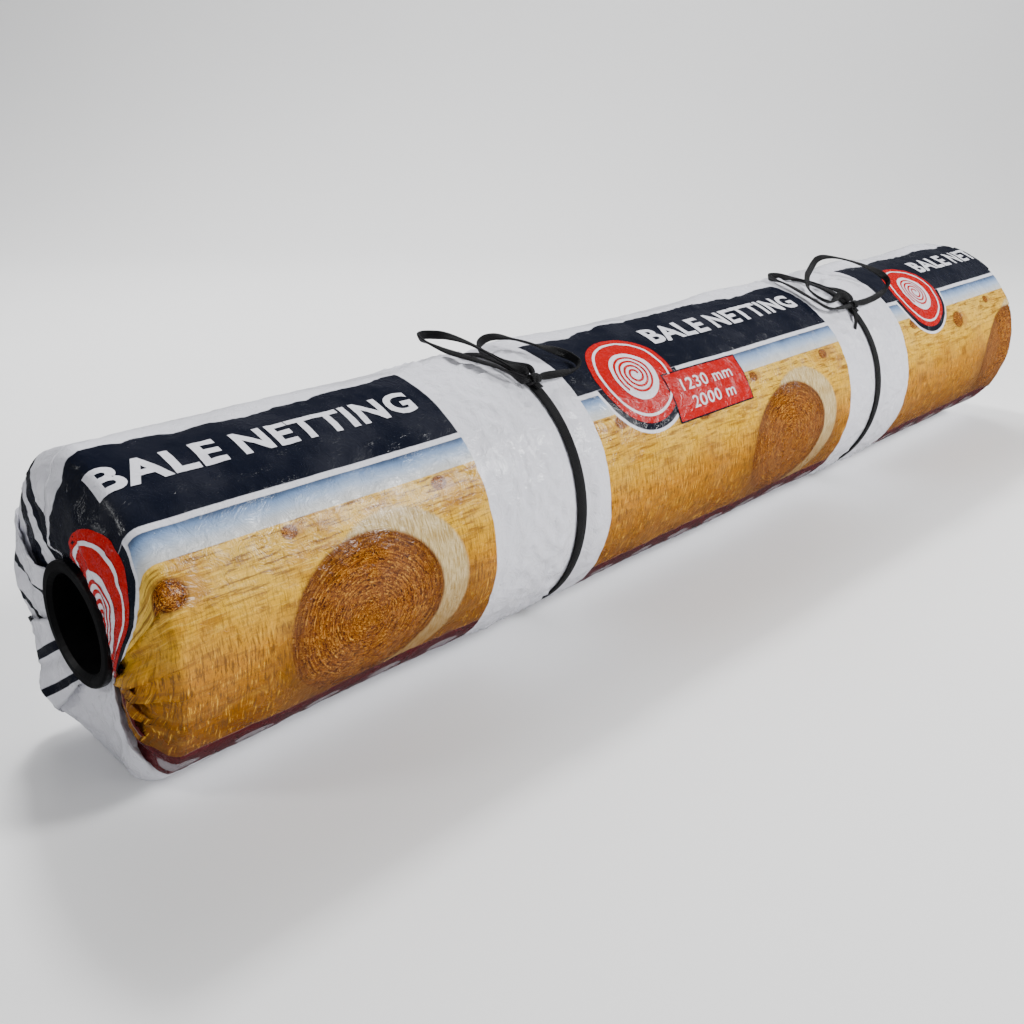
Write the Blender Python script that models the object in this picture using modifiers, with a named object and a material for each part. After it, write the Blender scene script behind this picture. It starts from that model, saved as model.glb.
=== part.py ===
"""Roll of bale netting in its printed film sleeve, tied round twice with flat cord.

Metres, +Z up. The roll lies along X on its flattened underside. The origin is at the middle of
its length, on the surface that it lies on. The end called near is the one at -X.
"""

from math import cos, pi, radians, sin

import bmesh
import bpy
from mathutils import Matrix, Vector

# Driving dimensions.
NET_LENGTH = 1.230  # the width of netting that balers take
SLEEVE_R = 0.1138  # outside of the film
AXIS_HEIGHT = 0.1120  # less than SLEEVE_R: the underside is pressed flat
FILM = 0.0008
GAP = 0.0003  # between pieces that touch

NET_R = 0.1103
NET_CORNER_R = 0.012
CORE_BORE_R = 0.0381
CORE_R = 0.0431
CORE_EDGE = 0.0006

# End plugs.
FLANGE_R = 0.0445
FLANGE = 0.0055
FLANGE_ROUNDING = 0.0020
SPIGOT_R = CORE_BORE_R - GAP
SPIGOT_LENGTH = 0.031
PLUG_BORE_R = 0.0350
LEAD_IN = 0.0030
SPIGOT_CHAMFER = 0.0010

# Film sleeve.
SHOULDER_R = 0.014  # rounding from the side to the ends
FILM_HOLE_R = 0.0384
GATHER = 0.0060  # the film's pleats lie in a stack round the hole, and thin out to the shoulder
GATHER_R = 0.0560  # the stack has its full thickness inside this radius
DENT = 0.0023  # how far a tied cord presses the film in
DENT_REACH = 0.016  # along the roll, to each side of the cord

# Cords.
BAND_WIDTH = 0.0110
BAND = 0.0020
BAND_ROUNDING = 0.0006
KNOT_R = 0.0050
KNOT_LENGTH = 0.0130
KNOT_WRAPS = 3
WRAP_DEPTH = 0.0009
KNOT_TAPER = 0.25  # how much thinner the knot is at its ends
KNOT_ANGLES = {"near": 29.0, "far": 37.0}  # degrees from the top of the roll towards -Y
CORD_R = 0.0025  # the same cord, rolled up where it hangs free
TIE_X = {"near": -0.253, "far": 0.244}

# Tape over the netting's free end.
TAPE = 0.0005
TAPE_WIDTH = 0.050
TAPE_PLACES = {"left": -0.43, "middle": 0.0, "right": 0.43}
TAPE_FROM, TAPE_TO = 240.0, 300.0  # degrees round from the top towards -Y
TAPE_STEPS = 24

ROUND_STEPS = 48
SMALL_STEPS = 16
CORNER_STEPS = 4

# Free loops of the bows, from one end of the knot and back to its side.
LOOP_ROUTES = {
    "near_bow_loop_left": [
        (-0.2665, -0.0560, 0.2185),
        (-0.2705, -0.0490, 0.2225),
        (-0.2760, -0.0370, 0.2270),
        (-0.2820, -0.0240, 0.2302),
        (-0.2870, -0.0100, 0.2328),
        (-0.2915, 0.0030, 0.2352),
        (-0.2950, 0.0150, 0.2385),
        (-0.2955, 0.0270, 0.2408),
        (-0.2925, 0.0365, 0.2415),
        (-0.2865, 0.0400, 0.2418),
        (-0.2810, 0.0360, 0.2420),
        (-0.2765, 0.0240, 0.2424),
        (-0.2735, 0.0090, 0.2410),
        (-0.2710, -0.0060, 0.2382),
        (-0.2680, -0.0190, 0.2335),
        (-0.2645, -0.0320, 0.2280),
        (-0.2605, -0.0430, 0.2245),
    ],
    "near_bow_loop_right": [
        (-0.2330, -0.0583, 0.2158),
        (-0.2210, -0.0588, 0.2151),
        (-0.2090, -0.0588, 0.2151),
        (-0.1990, -0.0575, 0.2160),
        (-0.1935, -0.0530, 0.2185),
        (-0.1950, -0.0440, 0.2225),
        (-0.2020, -0.0350, 0.2265),
        (-0.2110, -0.0275, 0.2300),
        (-0.2190, -0.0190, 0.2335),
        (-0.2240, -0.0090, 0.2355),
        (-0.2285, 0.0000, 0.2365),
        (-0.2335, 0.0075, 0.2370),
        (-0.2400, 0.0110, 0.2360),
        (-0.2475, 0.0105, 0.2335),
        (-0.2545, 0.0050, 0.2312),
        (-0.2585, -0.0060, 0.2300),
        (-0.2590, -0.0180, 0.2290),
        (-0.2560, -0.0310, 0.2262),
        (-0.2525, -0.0430, 0.2240),
    ],
    "far_bow_loop_left": [
        (0.2260, -0.0716, 0.2070),
        (0.2160, -0.0714, 0.2074),
        (0.2070, -0.0712, 0.2078),
        (0.1990, -0.0700, 0.2088),
        (0.1925, -0.0660, 0.2112),
        (0.1885, -0.0580, 0.2158),
        (0.1870, -0.0430, 0.2222),
        (0.1900, -0.0180, 0.2295),
        (0.1960, 0.0010, 0.2315),
        (0.2025, 0.0125, 0.2320),
        (0.2095, 0.0145, 0.2320),
        (0.2155, 0.0090, 0.2318),
        (0.2200, -0.0016, 0.2308),
        (0.2245, -0.0138, 0.2298),
        (0.2275, -0.0250, 0.2280),
        (0.2330, -0.0390, 0.2240),
        (0.2400, -0.0480, 0.2215),
        (0.2450, -0.0570, 0.2180),
    ],
    "far_bow_loop_right": [
        (0.2680, -0.0720, 0.2068),
        (0.2860, -0.0722, 0.2068),
        (0.3030, -0.0730, 0.2078),
        (0.3170, -0.0740, 0.2108),
        (0.3260, -0.0735, 0.2160),
        (0.3285, -0.0690, 0.2215),
        (0.3260, -0.0600, 0.2285),
        (0.3195, -0.0490, 0.2345),
        (0.3110, -0.0380, 0.2398),
        (0.3010, -0.0265, 0.2443),
        (0.2910, -0.0160, 0.2470),
        (0.2820, -0.0080, 0.2475),
        (0.2735, -0.0050, 0.2455),
        (0.2640, -0.0065, 0.2420),
        (0.2510, -0.0111, 0.2388),
        (0.2380, -0.0164, 0.2367),
        (0.2260, -0.0218, 0.2354),
        (0.2130, -0.0296, 0.2307),
        (0.2045, -0.0369, 0.2255),
        (0.2010, -0.0462, 0.2209),
        (0.2030, -0.0565, 0.2160),
        (0.2110, -0.0625, 0.2130),
        (0.2220, -0.0615, 0.2150),
        (0.2320, -0.0590, 0.2172),
        (0.2390, -0.0605, 0.2162),
    ],
}
# Where along the knot each loop's second end meets it, from the knot's middle.
LOOP_RETURNS = {
    "near_bow_loop_left": -0.0034,
    "near_bow_loop_right": 0.0034,
    "far_bow_loop_left": 0.0034,
    "far_bow_loop_right": -0.0034,
}
LOOP_RETURN_ANGLE = 40.0  # degrees above level, seen along the knot
STRAIGHT_OUT = 0.0040
POINTS_PER_SPAN = 2

COLOURS = {
    "core_tube": (0.03, 0.03, 0.032, 0.45, 0.0),
    "net_roll": (0.86, 0.87, 0.88, 0.7, 0.0),
    "film_sleeve": (0.83, 0.66, 0.30, 0.18, 0.0),
    "tape": (0.80, 0.72, 0.50, 0.35, 0.0),
    "plug": (0.02, 0.02, 0.022, 0.35, 0.0),
    "cord": (0.025, 0.025, 0.028, 0.5, 0.0),
}


def clear_scene():
    for item in list(bpy.data.objects):
        bpy.data.objects.remove(item)


def collection(name):
    made = bpy.data.collections.new(name)
    bpy.context.scene.collection.children.link(made)
    return made


def material(name):
    found = bpy.data.materials.get(name)
    if found:
        return found
    red, green, blue, roughness, metallic = COLOURS[name]
    made = bpy.data.materials.new(name)
    made.use_nodes = True
    shader = made.node_tree.nodes["Principled BSDF"]
    shader.inputs["Base Color"].default_value = (red, green, blue, 1.0)
    shader.inputs["Roughness"].default_value = roughness
    shader.inputs["Metallic"].default_value = metallic
    return made


def mesh_object(name, mesh, finish, parts):
    made = bpy.data.objects.new(name, mesh)
    made.data.materials.append(material(finish))
    parts.objects.link(made)
    return made


def shade(item, degrees=35.0):
    item.data.shade_smooth()
    item.data.set_sharp_from_angle(angle=radians(degrees))


def turned(name, profile, steps, finish, parts, sweep=360.0, start=0.0):
    """A closed profile of (radius, height) turned about Z, then laid along X.

    The profile starts at the top of its outer side and runs down it.
    """
    mesh = bpy.data.meshes.new(name)
    turn = radians(start)
    points = [(r * cos(turn), r * sin(turn), z) for r, z in profile]
    edges = [(i, (i + 1) % len(points)) for i in range(len(points))]
    full = sweep >= 360.0
    mesh.from_pydata(points, edges, [])
    item = mesh_object(name, mesh, finish, parts)
    screw = item.modifiers.new("turn", "SCREW")
    screw.angle = radians(sweep)
    screw.steps = screw.render_steps = steps
    screw.use_merge_vertices = full
    screw.merge_threshold = 0.00001
    item = apply_modifiers(item)
    if not full:
        cap_ends(item.data)
    # Local Z becomes X, and local X becomes the top of the roll.
    item.data.transform(Matrix(((0, 0, 1, 0), (0, -1, 0, 0), (1, 0, 0, 0), (0, 0, 0, 1))))
    shade(item)
    return item


def apply_modifiers(item):
    view = bpy.context.evaluated_depsgraph_get()
    mesh = bpy.data.meshes.new_from_object(item.evaluated_get(view))
    item.modifiers.clear()
    item.data = mesh
    return item


def cap_ends(mesh):
    form = bmesh.new()
    form.from_mesh(mesh)
    bmesh.ops.holes_fill(form, edges=[e for e in form.edges if e.is_boundary], sides=0)
    bmesh.ops.recalc_face_normals(form, faces=form.faces)
    form.to_mesh(mesh)
    form.free()


def arc(centre_r, centre_z, radius, first, last, count):
    """Points of a profile round a corner, with angles from the radial direction towards +Z."""
    spots = [radians(first + (last - first) * i / count) for i in range(count + 1)]
    return [(centre_r + radius * cos(a), centre_z + radius * sin(a)) for a in spots]


def rest_flat(item, height_at):
    """Press the underside flat: nothing of the item stays below height_at(x)."""
    for point in item.data.vertices:
        point.co.z = max(point.co.z, height_at(point.co.x))


def dent_at(x):
    """1 under the middle of a tied cord, falling smoothly to 0 beside it."""
    deepest = 0.0
    for tie in TIE_X.values():
        away = abs(x - tie) - BAND_WIDTH / 2 - 2 * GAP
        if away <= 0:
            return 1.0
        if away < DENT_REACH:
            deepest = max(deepest, 0.5 + 0.5 * cos(pi * away / DENT_REACH))
    return deepest


def core_tube(parts):
    half = NET_LENGTH / 2
    edge = CORE_EDGE
    profile = [
        (CORE_R, half - edge),
        (CORE_R, -half + edge),
        (CORE_R - edge, -half),
        (CORE_BORE_R + edge, -half),
        (CORE_BORE_R, -half + edge),
        (CORE_BORE_R, half - edge),
        (CORE_BORE_R + edge, half),
        (CORE_R - edge, half),
    ]
    item = turned("core_tube", profile, ROUND_STEPS, "core_tube", parts)
    item.data.transform(Matrix.Translation((0, 0, AXIS_HEIGHT)))


def net_roll(parts):
    half = NET_LENGTH / 2
    corner = NET_CORNER_R
    profile = arc(NET_R - corner, half - corner, corner, 90, 0, CORNER_STEPS)
    profile += arc(NET_R - corner, -half + corner, corner, 0, -90, CORNER_STEPS)
    profile += [(CORE_R + GAP, -half), (CORE_R + GAP, half)]
    item = turned("net_roll", profile, ROUND_STEPS, "net_roll", parts)
    item.data.transform(Matrix.Translation((0, 0, AXIS_HEIGHT)))
    rest_flat(item, lambda x: DENT + FILM + 2 * GAP)


def sleeve_stations():
    """Places along the straight side of the sleeve, closer together at the dents."""
    end = NET_LENGTH / 2 + GAP + FILM - SHOULDER_R
    stations = [end, -end]
    for tie in TIE_X.values():
        flat = BAND_WIDTH / 2 + 2 * GAP
        for away in (flat, flat + DENT_REACH / 2, flat + DENT_REACH):
            stations += [tie - away, tie + away]
    return sorted(stations, reverse=True)


def film_sleeve(parts):
    end = NET_LENGTH / 2 + GAP
    middle_r, middle_x = SLEEVE_R - SHOULDER_R, end + FILM - SHOULDER_R
    outer_end = [(FILM_HOLE_R, end + GATHER), (GATHER_R, end + GATHER)]
    outer_end += arc(middle_r, middle_x, SHOULDER_R, 90, 0, CORNER_STEPS)[:-1]
    inner_end = [(FILM_HOLE_R, end)]
    inner_end += arc(middle_r, middle_x, SHOULDER_R - FILM, 90, 0, CORNER_STEPS)[:-1]
    side = [(SLEEVE_R - DENT * dent_at(x), x) for x in sleeve_stations()]
    outer = outer_end + side + [(r, -x) for r, x in reversed(outer_end)]
    inner = [(r, -x) for r, x in inner_end] + [(r - FILM, x) for r, x in reversed(side)]
    inner += reversed(inner_end)
    item = turned("film_sleeve", outer + inner, ROUND_STEPS, "film_sleeve", parts)
    item.data.transform(Matrix.Translation((0, 0, AXIS_HEIGHT)))
    press_sleeve(item)


def depth_in_sleeve(x, radius):
    """How deep a point lies under the sleeve's outer face, before the underside is pressed."""
    beyond = abs(x) - (NET_LENGTH / 2 + GAP + FILM - SHOULDER_R)
    out = radius - (SLEEVE_R - SHOULDER_R)
    if beyond > 0:
        return SHOULDER_R - (beyond if out < 0 else (beyond**2 + out**2) ** 0.5)
    return SLEEVE_R - DENT * dent_at(x) - radius


def press_sleeve(item):
    """Flatten the underside, keeping the film's thickness between its two faces."""
    for point in item.data.vertices:
        x, y, z = point.co
        radius = (y * y + (z - AXIS_HEIGHT) ** 2) ** 0.5
        inside = depth_in_sleeve(x, radius) > FILM / 2
        point.co.z = max(z, DENT * dent_at(x) + (FILM if inside else 0.0))


def end_plug(name, side, parts):
    """side is -1 for the end at -X. The flange bears on the film that is drawn over the core's end."""
    face = NET_LENGTH / 2 + 2 * GAP + GATHER
    out = face + FLANGE
    deep = face - SPIGOT_LENGTH
    corner = FLANGE_ROUNDING
    profile = [(PLUG_BORE_R + LEAD_IN, out)]
    profile += arc(FLANGE_R - corner, out - corner, corner, 90, 0, CORNER_STEPS)
    profile += [
        (FLANGE_R, face),
        (SPIGOT_R, face),
        (SPIGOT_R, deep + SPIGOT_CHAMFER),
        (SPIGOT_R - SPIGOT_CHAMFER, deep),
        (PLUG_BORE_R, deep),
        (PLUG_BORE_R, out - LEAD_IN),
    ]
    if side < 0:
        profile = [(r, -z) for r, z in reversed(profile)]
    item = turned(name, profile, ROUND_STEPS, "plug", parts)
    item.data.transform(Matrix.Translation((0, 0, AXIS_HEIGHT)))


def cord_band(name, x, parts):
    """The flat cord's stretch round the roll."""
    inner_r = SLEEVE_R - DENT + GAP
    outer_r = inner_r + BAND
    half = BAND_WIDTH / 2
    round_off = BAND_ROUNDING
    profile = [
        (outer_r, x + half - round_off),
        (outer_r, x - half + round_off),
        (outer_r - round_off, x - half),
        (inner_r + round_off, x - half),
        (inner_r, x - half + round_off),
        (inner_r, x + half - round_off),
        (inner_r + round_off, x + half),
        (outer_r - round_off, x + half),
    ]
    item = turned(name, profile, ROUND_STEPS, "cord", parts)
    item.data.transform(Matrix.Translation((0, 0, AXIS_HEIGHT)))
    press_band(item, (inner_r + outer_r) / 2)


def press_band(item, middle_r):
    """Lay the cord flat under the roll: its lower face at 0, its upper face under the film."""
    for point in item.data.vertices:
        x, y, z = point.co
        radius = (y * y + (z - AXIS_HEIGHT) ** 2) ** 0.5
        share = (middle_r + BAND / 2 - radius) / BAND
        point.co.z = max(z, share * BAND)


def knot_centre(tie):
    out = SLEEVE_R - DENT + 2 * GAP + BAND + KNOT_R
    turn = radians(KNOT_ANGLES[tie])
    return Vector((TIE_X[tie], -out * sin(turn), AXIS_HEIGHT + out * cos(turn)))


def cord_knot(tie, parts):
    """A barrel of wraps along X, which the bow's loops leave."""
    half = KNOT_LENGTH / 2
    count = 6 * KNOT_WRAPS
    profile = []
    for i in range(count + 1):
        along = half - KNOT_LENGTH * i / count
        wrap = abs(cos(KNOT_WRAPS * pi * (along / KNOT_LENGTH)))
        rounding = 1.0 - KNOT_TAPER * abs(along / half) ** 4
        profile.append(((KNOT_R - WRAP_DEPTH * (1.0 - wrap)) * rounding, along))
    profile = [(0.0, half)] + profile + [(0.0, -half)]
    item = turned_solid(tie + "_cord_knot", profile, SMALL_STEPS, "cord", parts)
    item.location = knot_centre(tie)


def turned_solid(name, profile, steps, finish, parts):
    """A profile that starts and ends on the axis, turned about Z and laid along X."""
    mesh = bpy.data.meshes.new(name)
    edges = [(i, i + 1) for i in range(len(profile) - 1)]
    mesh.from_pydata([(r, 0.0, z) for r, z in profile], edges, [])
    item = mesh_object(name, mesh, finish, parts)
    screw = item.modifiers.new("turn", "SCREW")
    screw.steps = screw.render_steps = steps
    screw.use_merge_vertices = True
    screw.merge_threshold = 0.00001
    item = apply_modifiers(item)
    item.data.transform(Matrix(((0, 0, 1, 0), (0, -1, 0, 0), (1, 0, 0, 0), (0, 0, 0, 1))))
    shade(item)
    return item


def smooth_route(points, per_span):
    """A Catmull-Rom curve through the points, with per_span points for each stretch."""
    ends = [2 * points[0] - points[1]] + points + [2 * points[-1] - points[-2]]
    route = []
    for i in range(1, len(ends) - 2):
        a, b, c, d = ends[i - 1 : i + 3]
        for k in range(per_span):
            t = k / per_span
            route.append(
                0.5 * (2 * b + (c - a) * t + (2 * a - 5 * b + 4 * c - d) * t**2)
                + 0.5 * (3 * b - a - 3 * c + d) * t**3
            )
    return route + [points[-1]]


def loop_ends(tie, side, along):
    """Two points straight out of the knot's end face, and two that come straight back to its side."""
    centre = knot_centre(tie)
    sign = -1 if side == "left" else 1
    out = [KNOT_LENGTH / 2 + GAP + step for step in (0, STRAIGHT_OUT)]
    leave = [centre + Vector((sign * reach, 0, 0)) for reach in out]
    turn = radians(LOOP_RETURN_ANGLE)
    back = []
    for reach in (KNOT_R + GAP + STRAIGHT_OUT, KNOT_R + GAP):
        back.append(centre + Vector((along, reach * cos(turn), reach * sin(turn))))
    return leave, back


def bow_loop(tie, side, parts):
    name = tie + "_bow_loop_" + side
    leave, back = loop_ends(tie, side, LOOP_RETURNS[name])
    points = leave + [Vector(p) for p in LOOP_ROUTES[name]] + back
    route = smooth_route(points, POINTS_PER_SPAN)
    curve = bpy.data.curves.new(name, "CURVE")
    curve.dimensions = "3D"
    curve.bevel_depth = CORD_R
    curve.bevel_resolution = 2
    curve.use_fill_caps = True
    spline = curve.splines.new("POLY")
    spline.points.add(len(route) - 1)
    for spot, place in zip(spline.points, route):
        spot.co = (*place, 1.0)
    item = bpy.data.objects.new(name, curve)
    curve.materials.append(material("cord"))
    parts.objects.link(item)


def tied_cord(tie, parts):
    cord_band(tie + "_cord_band", TIE_X[tie], parts)
    cord_knot(tie, parts)
    for side in ("left", "right"):
        bow_loop(tie, side, parts)


def tape_strip(name, x, parts):
    """A strip of tape across the netting's free end, on the +Y side of the roll."""
    inner_r = NET_R + GAP
    half = TAPE_WIDTH / 2
    profile = [
        (inner_r + TAPE, x + half),
        (inner_r + TAPE, x - half),
        (inner_r, x - half),
        (inner_r, x + half),
    ]
    item = turned(name, profile, TAPE_STEPS, "tape", parts, TAPE_TO - TAPE_FROM, TAPE_FROM)
    item.data.transform(Matrix.Translation((0, 0, AXIS_HEIGHT)))


def main():
    clear_scene()
    parts = collection("bale_netting_roll")
    core_tube(parts)
    net_roll(parts)
    film_sleeve(parts)
    end_plug("near_end_plug", -1, parts)
    end_plug("far_end_plug", 1, parts)
    for place, x in TAPE_PLACES.items():
        tape_strip("tape_strip_" + place, x, parts)
    for tie in TIE_X:
        tied_cord(tie, parts)


main()
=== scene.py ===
"""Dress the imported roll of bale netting: printed film, flat cord, netting, tape, plugs and a stage."""

from math import cos, pi, radians, sin, tau

import bmesh
import bpy
import numpy as np
from bpy.props import FloatProperty, FloatVectorProperty, PointerProperty
from mathutils import Euler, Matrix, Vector


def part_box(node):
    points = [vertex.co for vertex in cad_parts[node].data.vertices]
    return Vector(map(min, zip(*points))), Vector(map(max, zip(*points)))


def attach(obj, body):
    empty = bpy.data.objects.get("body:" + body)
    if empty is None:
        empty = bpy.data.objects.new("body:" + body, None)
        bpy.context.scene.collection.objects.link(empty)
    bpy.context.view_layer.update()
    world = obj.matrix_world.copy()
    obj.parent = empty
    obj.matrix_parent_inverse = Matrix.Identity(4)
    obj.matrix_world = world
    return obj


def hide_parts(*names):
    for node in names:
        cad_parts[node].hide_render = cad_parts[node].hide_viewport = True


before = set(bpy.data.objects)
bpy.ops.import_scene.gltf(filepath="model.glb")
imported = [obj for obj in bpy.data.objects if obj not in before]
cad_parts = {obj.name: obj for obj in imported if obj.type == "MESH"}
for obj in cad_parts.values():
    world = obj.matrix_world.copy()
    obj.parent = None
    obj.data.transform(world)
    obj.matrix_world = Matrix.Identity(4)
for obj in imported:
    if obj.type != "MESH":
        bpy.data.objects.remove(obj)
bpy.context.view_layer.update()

bl_info = {
    "name": "Bale netting roll",
    "version": (1, 0, 0),
    "blender": (4, 5, 0),
    "location": "View3D > Sidebar > Netting roll",
    "description": "Film, cord, netting, tape and plugs of a wrapped roll of bale netting",
    "category": "Object",
}

# From the frame.
FILM_LOW, FILM_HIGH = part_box("film_sleeve")
FILM_R = (FILM_HIGH.y - FILM_LOW.y) / 2
AXIS_HEIGHT = FILM_HIGH.z - FILM_R
FILM_FACE = FILM_HIGH.x
NET_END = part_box("net_roll")[1].x
NET_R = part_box("net_roll")[1].z - AXIS_HEIGHT
NET_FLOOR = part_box("net_roll")[0].z
CORE_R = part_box("core_tube")[1].y
PLUG_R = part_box("near_end_plug")[1].y
TIES = {
    tie: (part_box(tie + "_cord_band")[0].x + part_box(tie + "_cord_band")[1].x) / 2
    for tie in ("near", "far")
}
KNOT_CENTRES = {
    tie: (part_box(tie + "_cord_knot")[0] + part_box(tie + "_cord_knot")[1]) / 2
    for tie in ("near", "far")
}
PER_DEGREE = FILM_R * pi / 180  # metres round the film for one degree

# The film, flat: its print repeats along the roll, and turns are degrees from the top towards -Y.
GIRTH = tau * FILM_R
SHOULDER_R = 0.0080
GATHER_HOLE_R = 0.0400
END_REACH = SHOULDER_R * pi / 2 + (FILM_R - SHOULDER_R - GATHER_HOLE_R)
FILM_STRAIGHT = NET_END + 0.0012 - SHOULDER_R
FILM_HALF = FILM_STRAIGHT + END_REACH
SEAM_TURN = -178.0
COLUMNS = 216
BODY_ROWS = 392
END_ROWS = 30
DENT = 0.0023
DENT_REACH = 0.016
BAND_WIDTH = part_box("near_cord_band")[1].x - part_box("near_cord_band")[0].x

# Print.
REPEAT = 0.533
PANEL_START = -0.7505
PANEL = 0.399
HEADER_TOP, HEADER_FOOT = 2.5, 41.0
LINE_FOOT = 43.2
HORIZON = 53.5
FIELD_FOOT = 124.0
STRIPE_FOOT = 140.0
BADGE_AT = (0.0775, 39.0)  # along the panel, and turn
BADGE_R = 0.0470
BADGE_RIM_R = 0.0530
BADGE_LINE_R = 0.0560
WORDS = (("BALE", 0.089, 0.1770), ("NETTING", 0.149, 0.3080))  # letters, width, place along the panel

# Knife pleats where each end of the film is drawn in: turn, share of the slack, and which side lies on top.
NEAR_PLEATS = [
    (-148, 0.10, -1),
    (-108, 0.11, 1),
    (-63, 0.11, 1),
    (-6, 0.13, -1),
    (66, 0.10, 1),
    (87, 0.06, 1),
    (98, 0.05, 1),
    (110, 0.06, 1),
    (124, 0.06, 1),
    (141, 0.07, -1),
    (162, 0.07, 1),
]
FAR_PLEATS = [
    (-150, 0.09, 1),
    (-118, 0.08, 1),
    (-84, 0.10, -1),
    (-52, 0.08, 1),
    (-21, 0.09, 1),
    (9, 0.08, -1),
    (38, 0.10, 1),
    (66, 0.08, 1),
    (97, 0.10, -1),
    (126, 0.08, 1),
    (157, 0.09, 1),
]
PLEAT_START = 0.0036
PLEAT_DROP = 0.0044
NET_CORNER_R = 0.0075
FOLD_COLUMNS = 4
# Where the film stands off the net's end: turn, radius, how far, and its spread in degrees and metres.
NEAR_BULGES = [
    (-140, 0.098, 0.0120, 17, 0.018),
    (-92, 0.106, 0.0060, 12, 0.014),
    (-25, 0.095, 0.0050, 16, 0.020),
    (30, 0.085, 0.0060, 20, 0.020),
    (84, 0.082, 0.0060, 12, 0.018),
    (98, 0.084, 0.0080, 9, 0.018),
    (112, 0.086, 0.0080, 9, 0.018),
    (127, 0.088, 0.0070, 9, 0.018),
    (150, 0.100, 0.0060, 15, 0.015),
]
FAR_BULGES = [
    (-100, 0.095, 0.0070, 20, 0.020),
    (20, 0.090, 0.0050, 20, 0.020),
    (140, 0.100, 0.0060, 20, 0.020),
]
# Sharp valleys between the pleats: turn, depth, and half width in degrees.
NEAR_CREASES = [
    (-128, 0.0035, 3.0),
    (-84, 0.0030, 3.0),
    (-34, 0.0030, 2.4),
    (22, 0.0022, 2.4),
    (77, 0.0045, 4.5),
    (92.5, 0.0075, 4.0),
    (105, 0.0085, 4.5),
    (119, 0.0085, 5.0),
    (136, 0.0080, 5.5),
    (160, 0.0060, 5.0),
]
FAR_CREASES = [(turn, 0.0030, 3.0) for turn in (-100, -35, 24, 82, 112)]
# Last two: how far the film stands off the netting's end, and how much more at a pleat's edge.
NEAR_END = (NEAR_PLEATS, NEAR_BULGES, NEAR_CREASES, 0.0046, 0.0008)
FAR_END = (FAR_PLEATS, FAR_BULGES, FAR_CREASES, 0.0030, 0.0008)

# The bows' free loops, from one end of each knot and back to its side.
LOOP_ROUTES = {
    "near_bow_loop_left": [
        (-0.2665, -0.0560, 0.2185),
        (-0.2705, -0.0490, 0.2225),
        (-0.2760, -0.0370, 0.2270),
        (-0.2820, -0.0240, 0.2302),
        (-0.2870, -0.0100, 0.2328),
        (-0.2915, 0.0030, 0.2352),
        (-0.2950, 0.0150, 0.2385),
        (-0.2955, 0.0270, 0.2408),
        (-0.2925, 0.0365, 0.2415),
        (-0.2865, 0.0400, 0.2418),
        (-0.2810, 0.0360, 0.2420),
        (-0.2765, 0.0240, 0.2424),
        (-0.2735, 0.0090, 0.2410),
        (-0.2710, -0.0060, 0.2382),
        (-0.2680, -0.0190, 0.2335),
        (-0.2645, -0.0320, 0.2280),
        (-0.2605, -0.0430, 0.2245),
    ],
    "near_bow_loop_right": [
        (-0.2330, -0.0583, 0.2158),
        (-0.2210, -0.0588, 0.2151),
        (-0.2090, -0.0588, 0.2151),
        (-0.1990, -0.0575, 0.2160),
        (-0.1935, -0.0530, 0.2185),
        (-0.1950, -0.0440, 0.2225),
        (-0.2020, -0.0350, 0.2265),
        (-0.2110, -0.0275, 0.2300),
        (-0.2190, -0.0190, 0.2335),
        (-0.2240, -0.0090, 0.2355),
        (-0.2285, 0.0000, 0.2365),
        (-0.2335, 0.0075, 0.2370),
        (-0.2400, 0.0110, 0.2360),
        (-0.2475, 0.0105, 0.2335),
        (-0.2545, 0.0050, 0.2312),
        (-0.2585, -0.0060, 0.2300),
        (-0.2590, -0.0180, 0.2290),
        (-0.2560, -0.0310, 0.2262),
        (-0.2525, -0.0430, 0.2240),
    ],
    "far_bow_loop_left": [
        (0.2260, -0.0716, 0.2070),
        (0.2160, -0.0714, 0.2074),
        (0.2070, -0.0712, 0.2078),
        (0.1990, -0.0700, 0.2088),
        (0.1925, -0.0660, 0.2112),
        (0.1885, -0.0580, 0.2158),
        (0.1870, -0.0430, 0.2222),
        (0.1900, -0.0180, 0.2295),
        (0.1960, 0.0010, 0.2315),
        (0.2025, 0.0125, 0.2320),
        (0.2095, 0.0145, 0.2320),
        (0.2155, 0.0090, 0.2318),
        (0.2200, -0.0016, 0.2308),
        (0.2245, -0.0138, 0.2298),
        (0.2275, -0.0250, 0.2280),
        (0.2330, -0.0390, 0.2240),
        (0.2400, -0.0480, 0.2215),
        (0.2450, -0.0570, 0.2180),
    ],
    "far_bow_loop_right": [
        (0.2680, -0.0720, 0.2068),
        (0.2860, -0.0712, 0.2073),
        (0.3030, -0.0706, 0.2092),
        (0.3170, -0.0700, 0.2130),
        (0.3260, -0.0692, 0.2177),
        (0.3285, -0.0662, 0.2228),
        (0.3260, -0.0600, 0.2285),
        (0.3195, -0.0490, 0.2345),
        (0.3110, -0.0380, 0.2398),
        (0.3010, -0.0265, 0.2443),
        (0.2910, -0.0160, 0.2470),
        (0.2820, -0.0080, 0.2475),
        (0.2735, -0.0050, 0.2455),
        (0.2640, -0.0065, 0.2420),
        (0.2510, -0.0111, 0.2388),
        (0.2380, -0.0164, 0.2367),
        (0.2260, -0.0218, 0.2354),
        (0.2130, -0.0296, 0.2307),
        (0.2045, -0.0369, 0.2255),
        (0.2010, -0.0462, 0.2209),
        (0.2030, -0.0565, 0.2160),
        (0.2110, -0.0625, 0.2130),
        (0.2220, -0.0615, 0.2150),
        (0.2320, -0.0590, 0.2172),
        (0.2390, -0.0605, 0.2162),
    ],
}
LOOP_RETURNS = {
    "near_bow_loop_left": -0.0034,
    "near_bow_loop_right": 0.0034,
    "far_bow_loop_left": 0.0034,
    "far_bow_loop_right": -0.0034,
}
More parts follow.
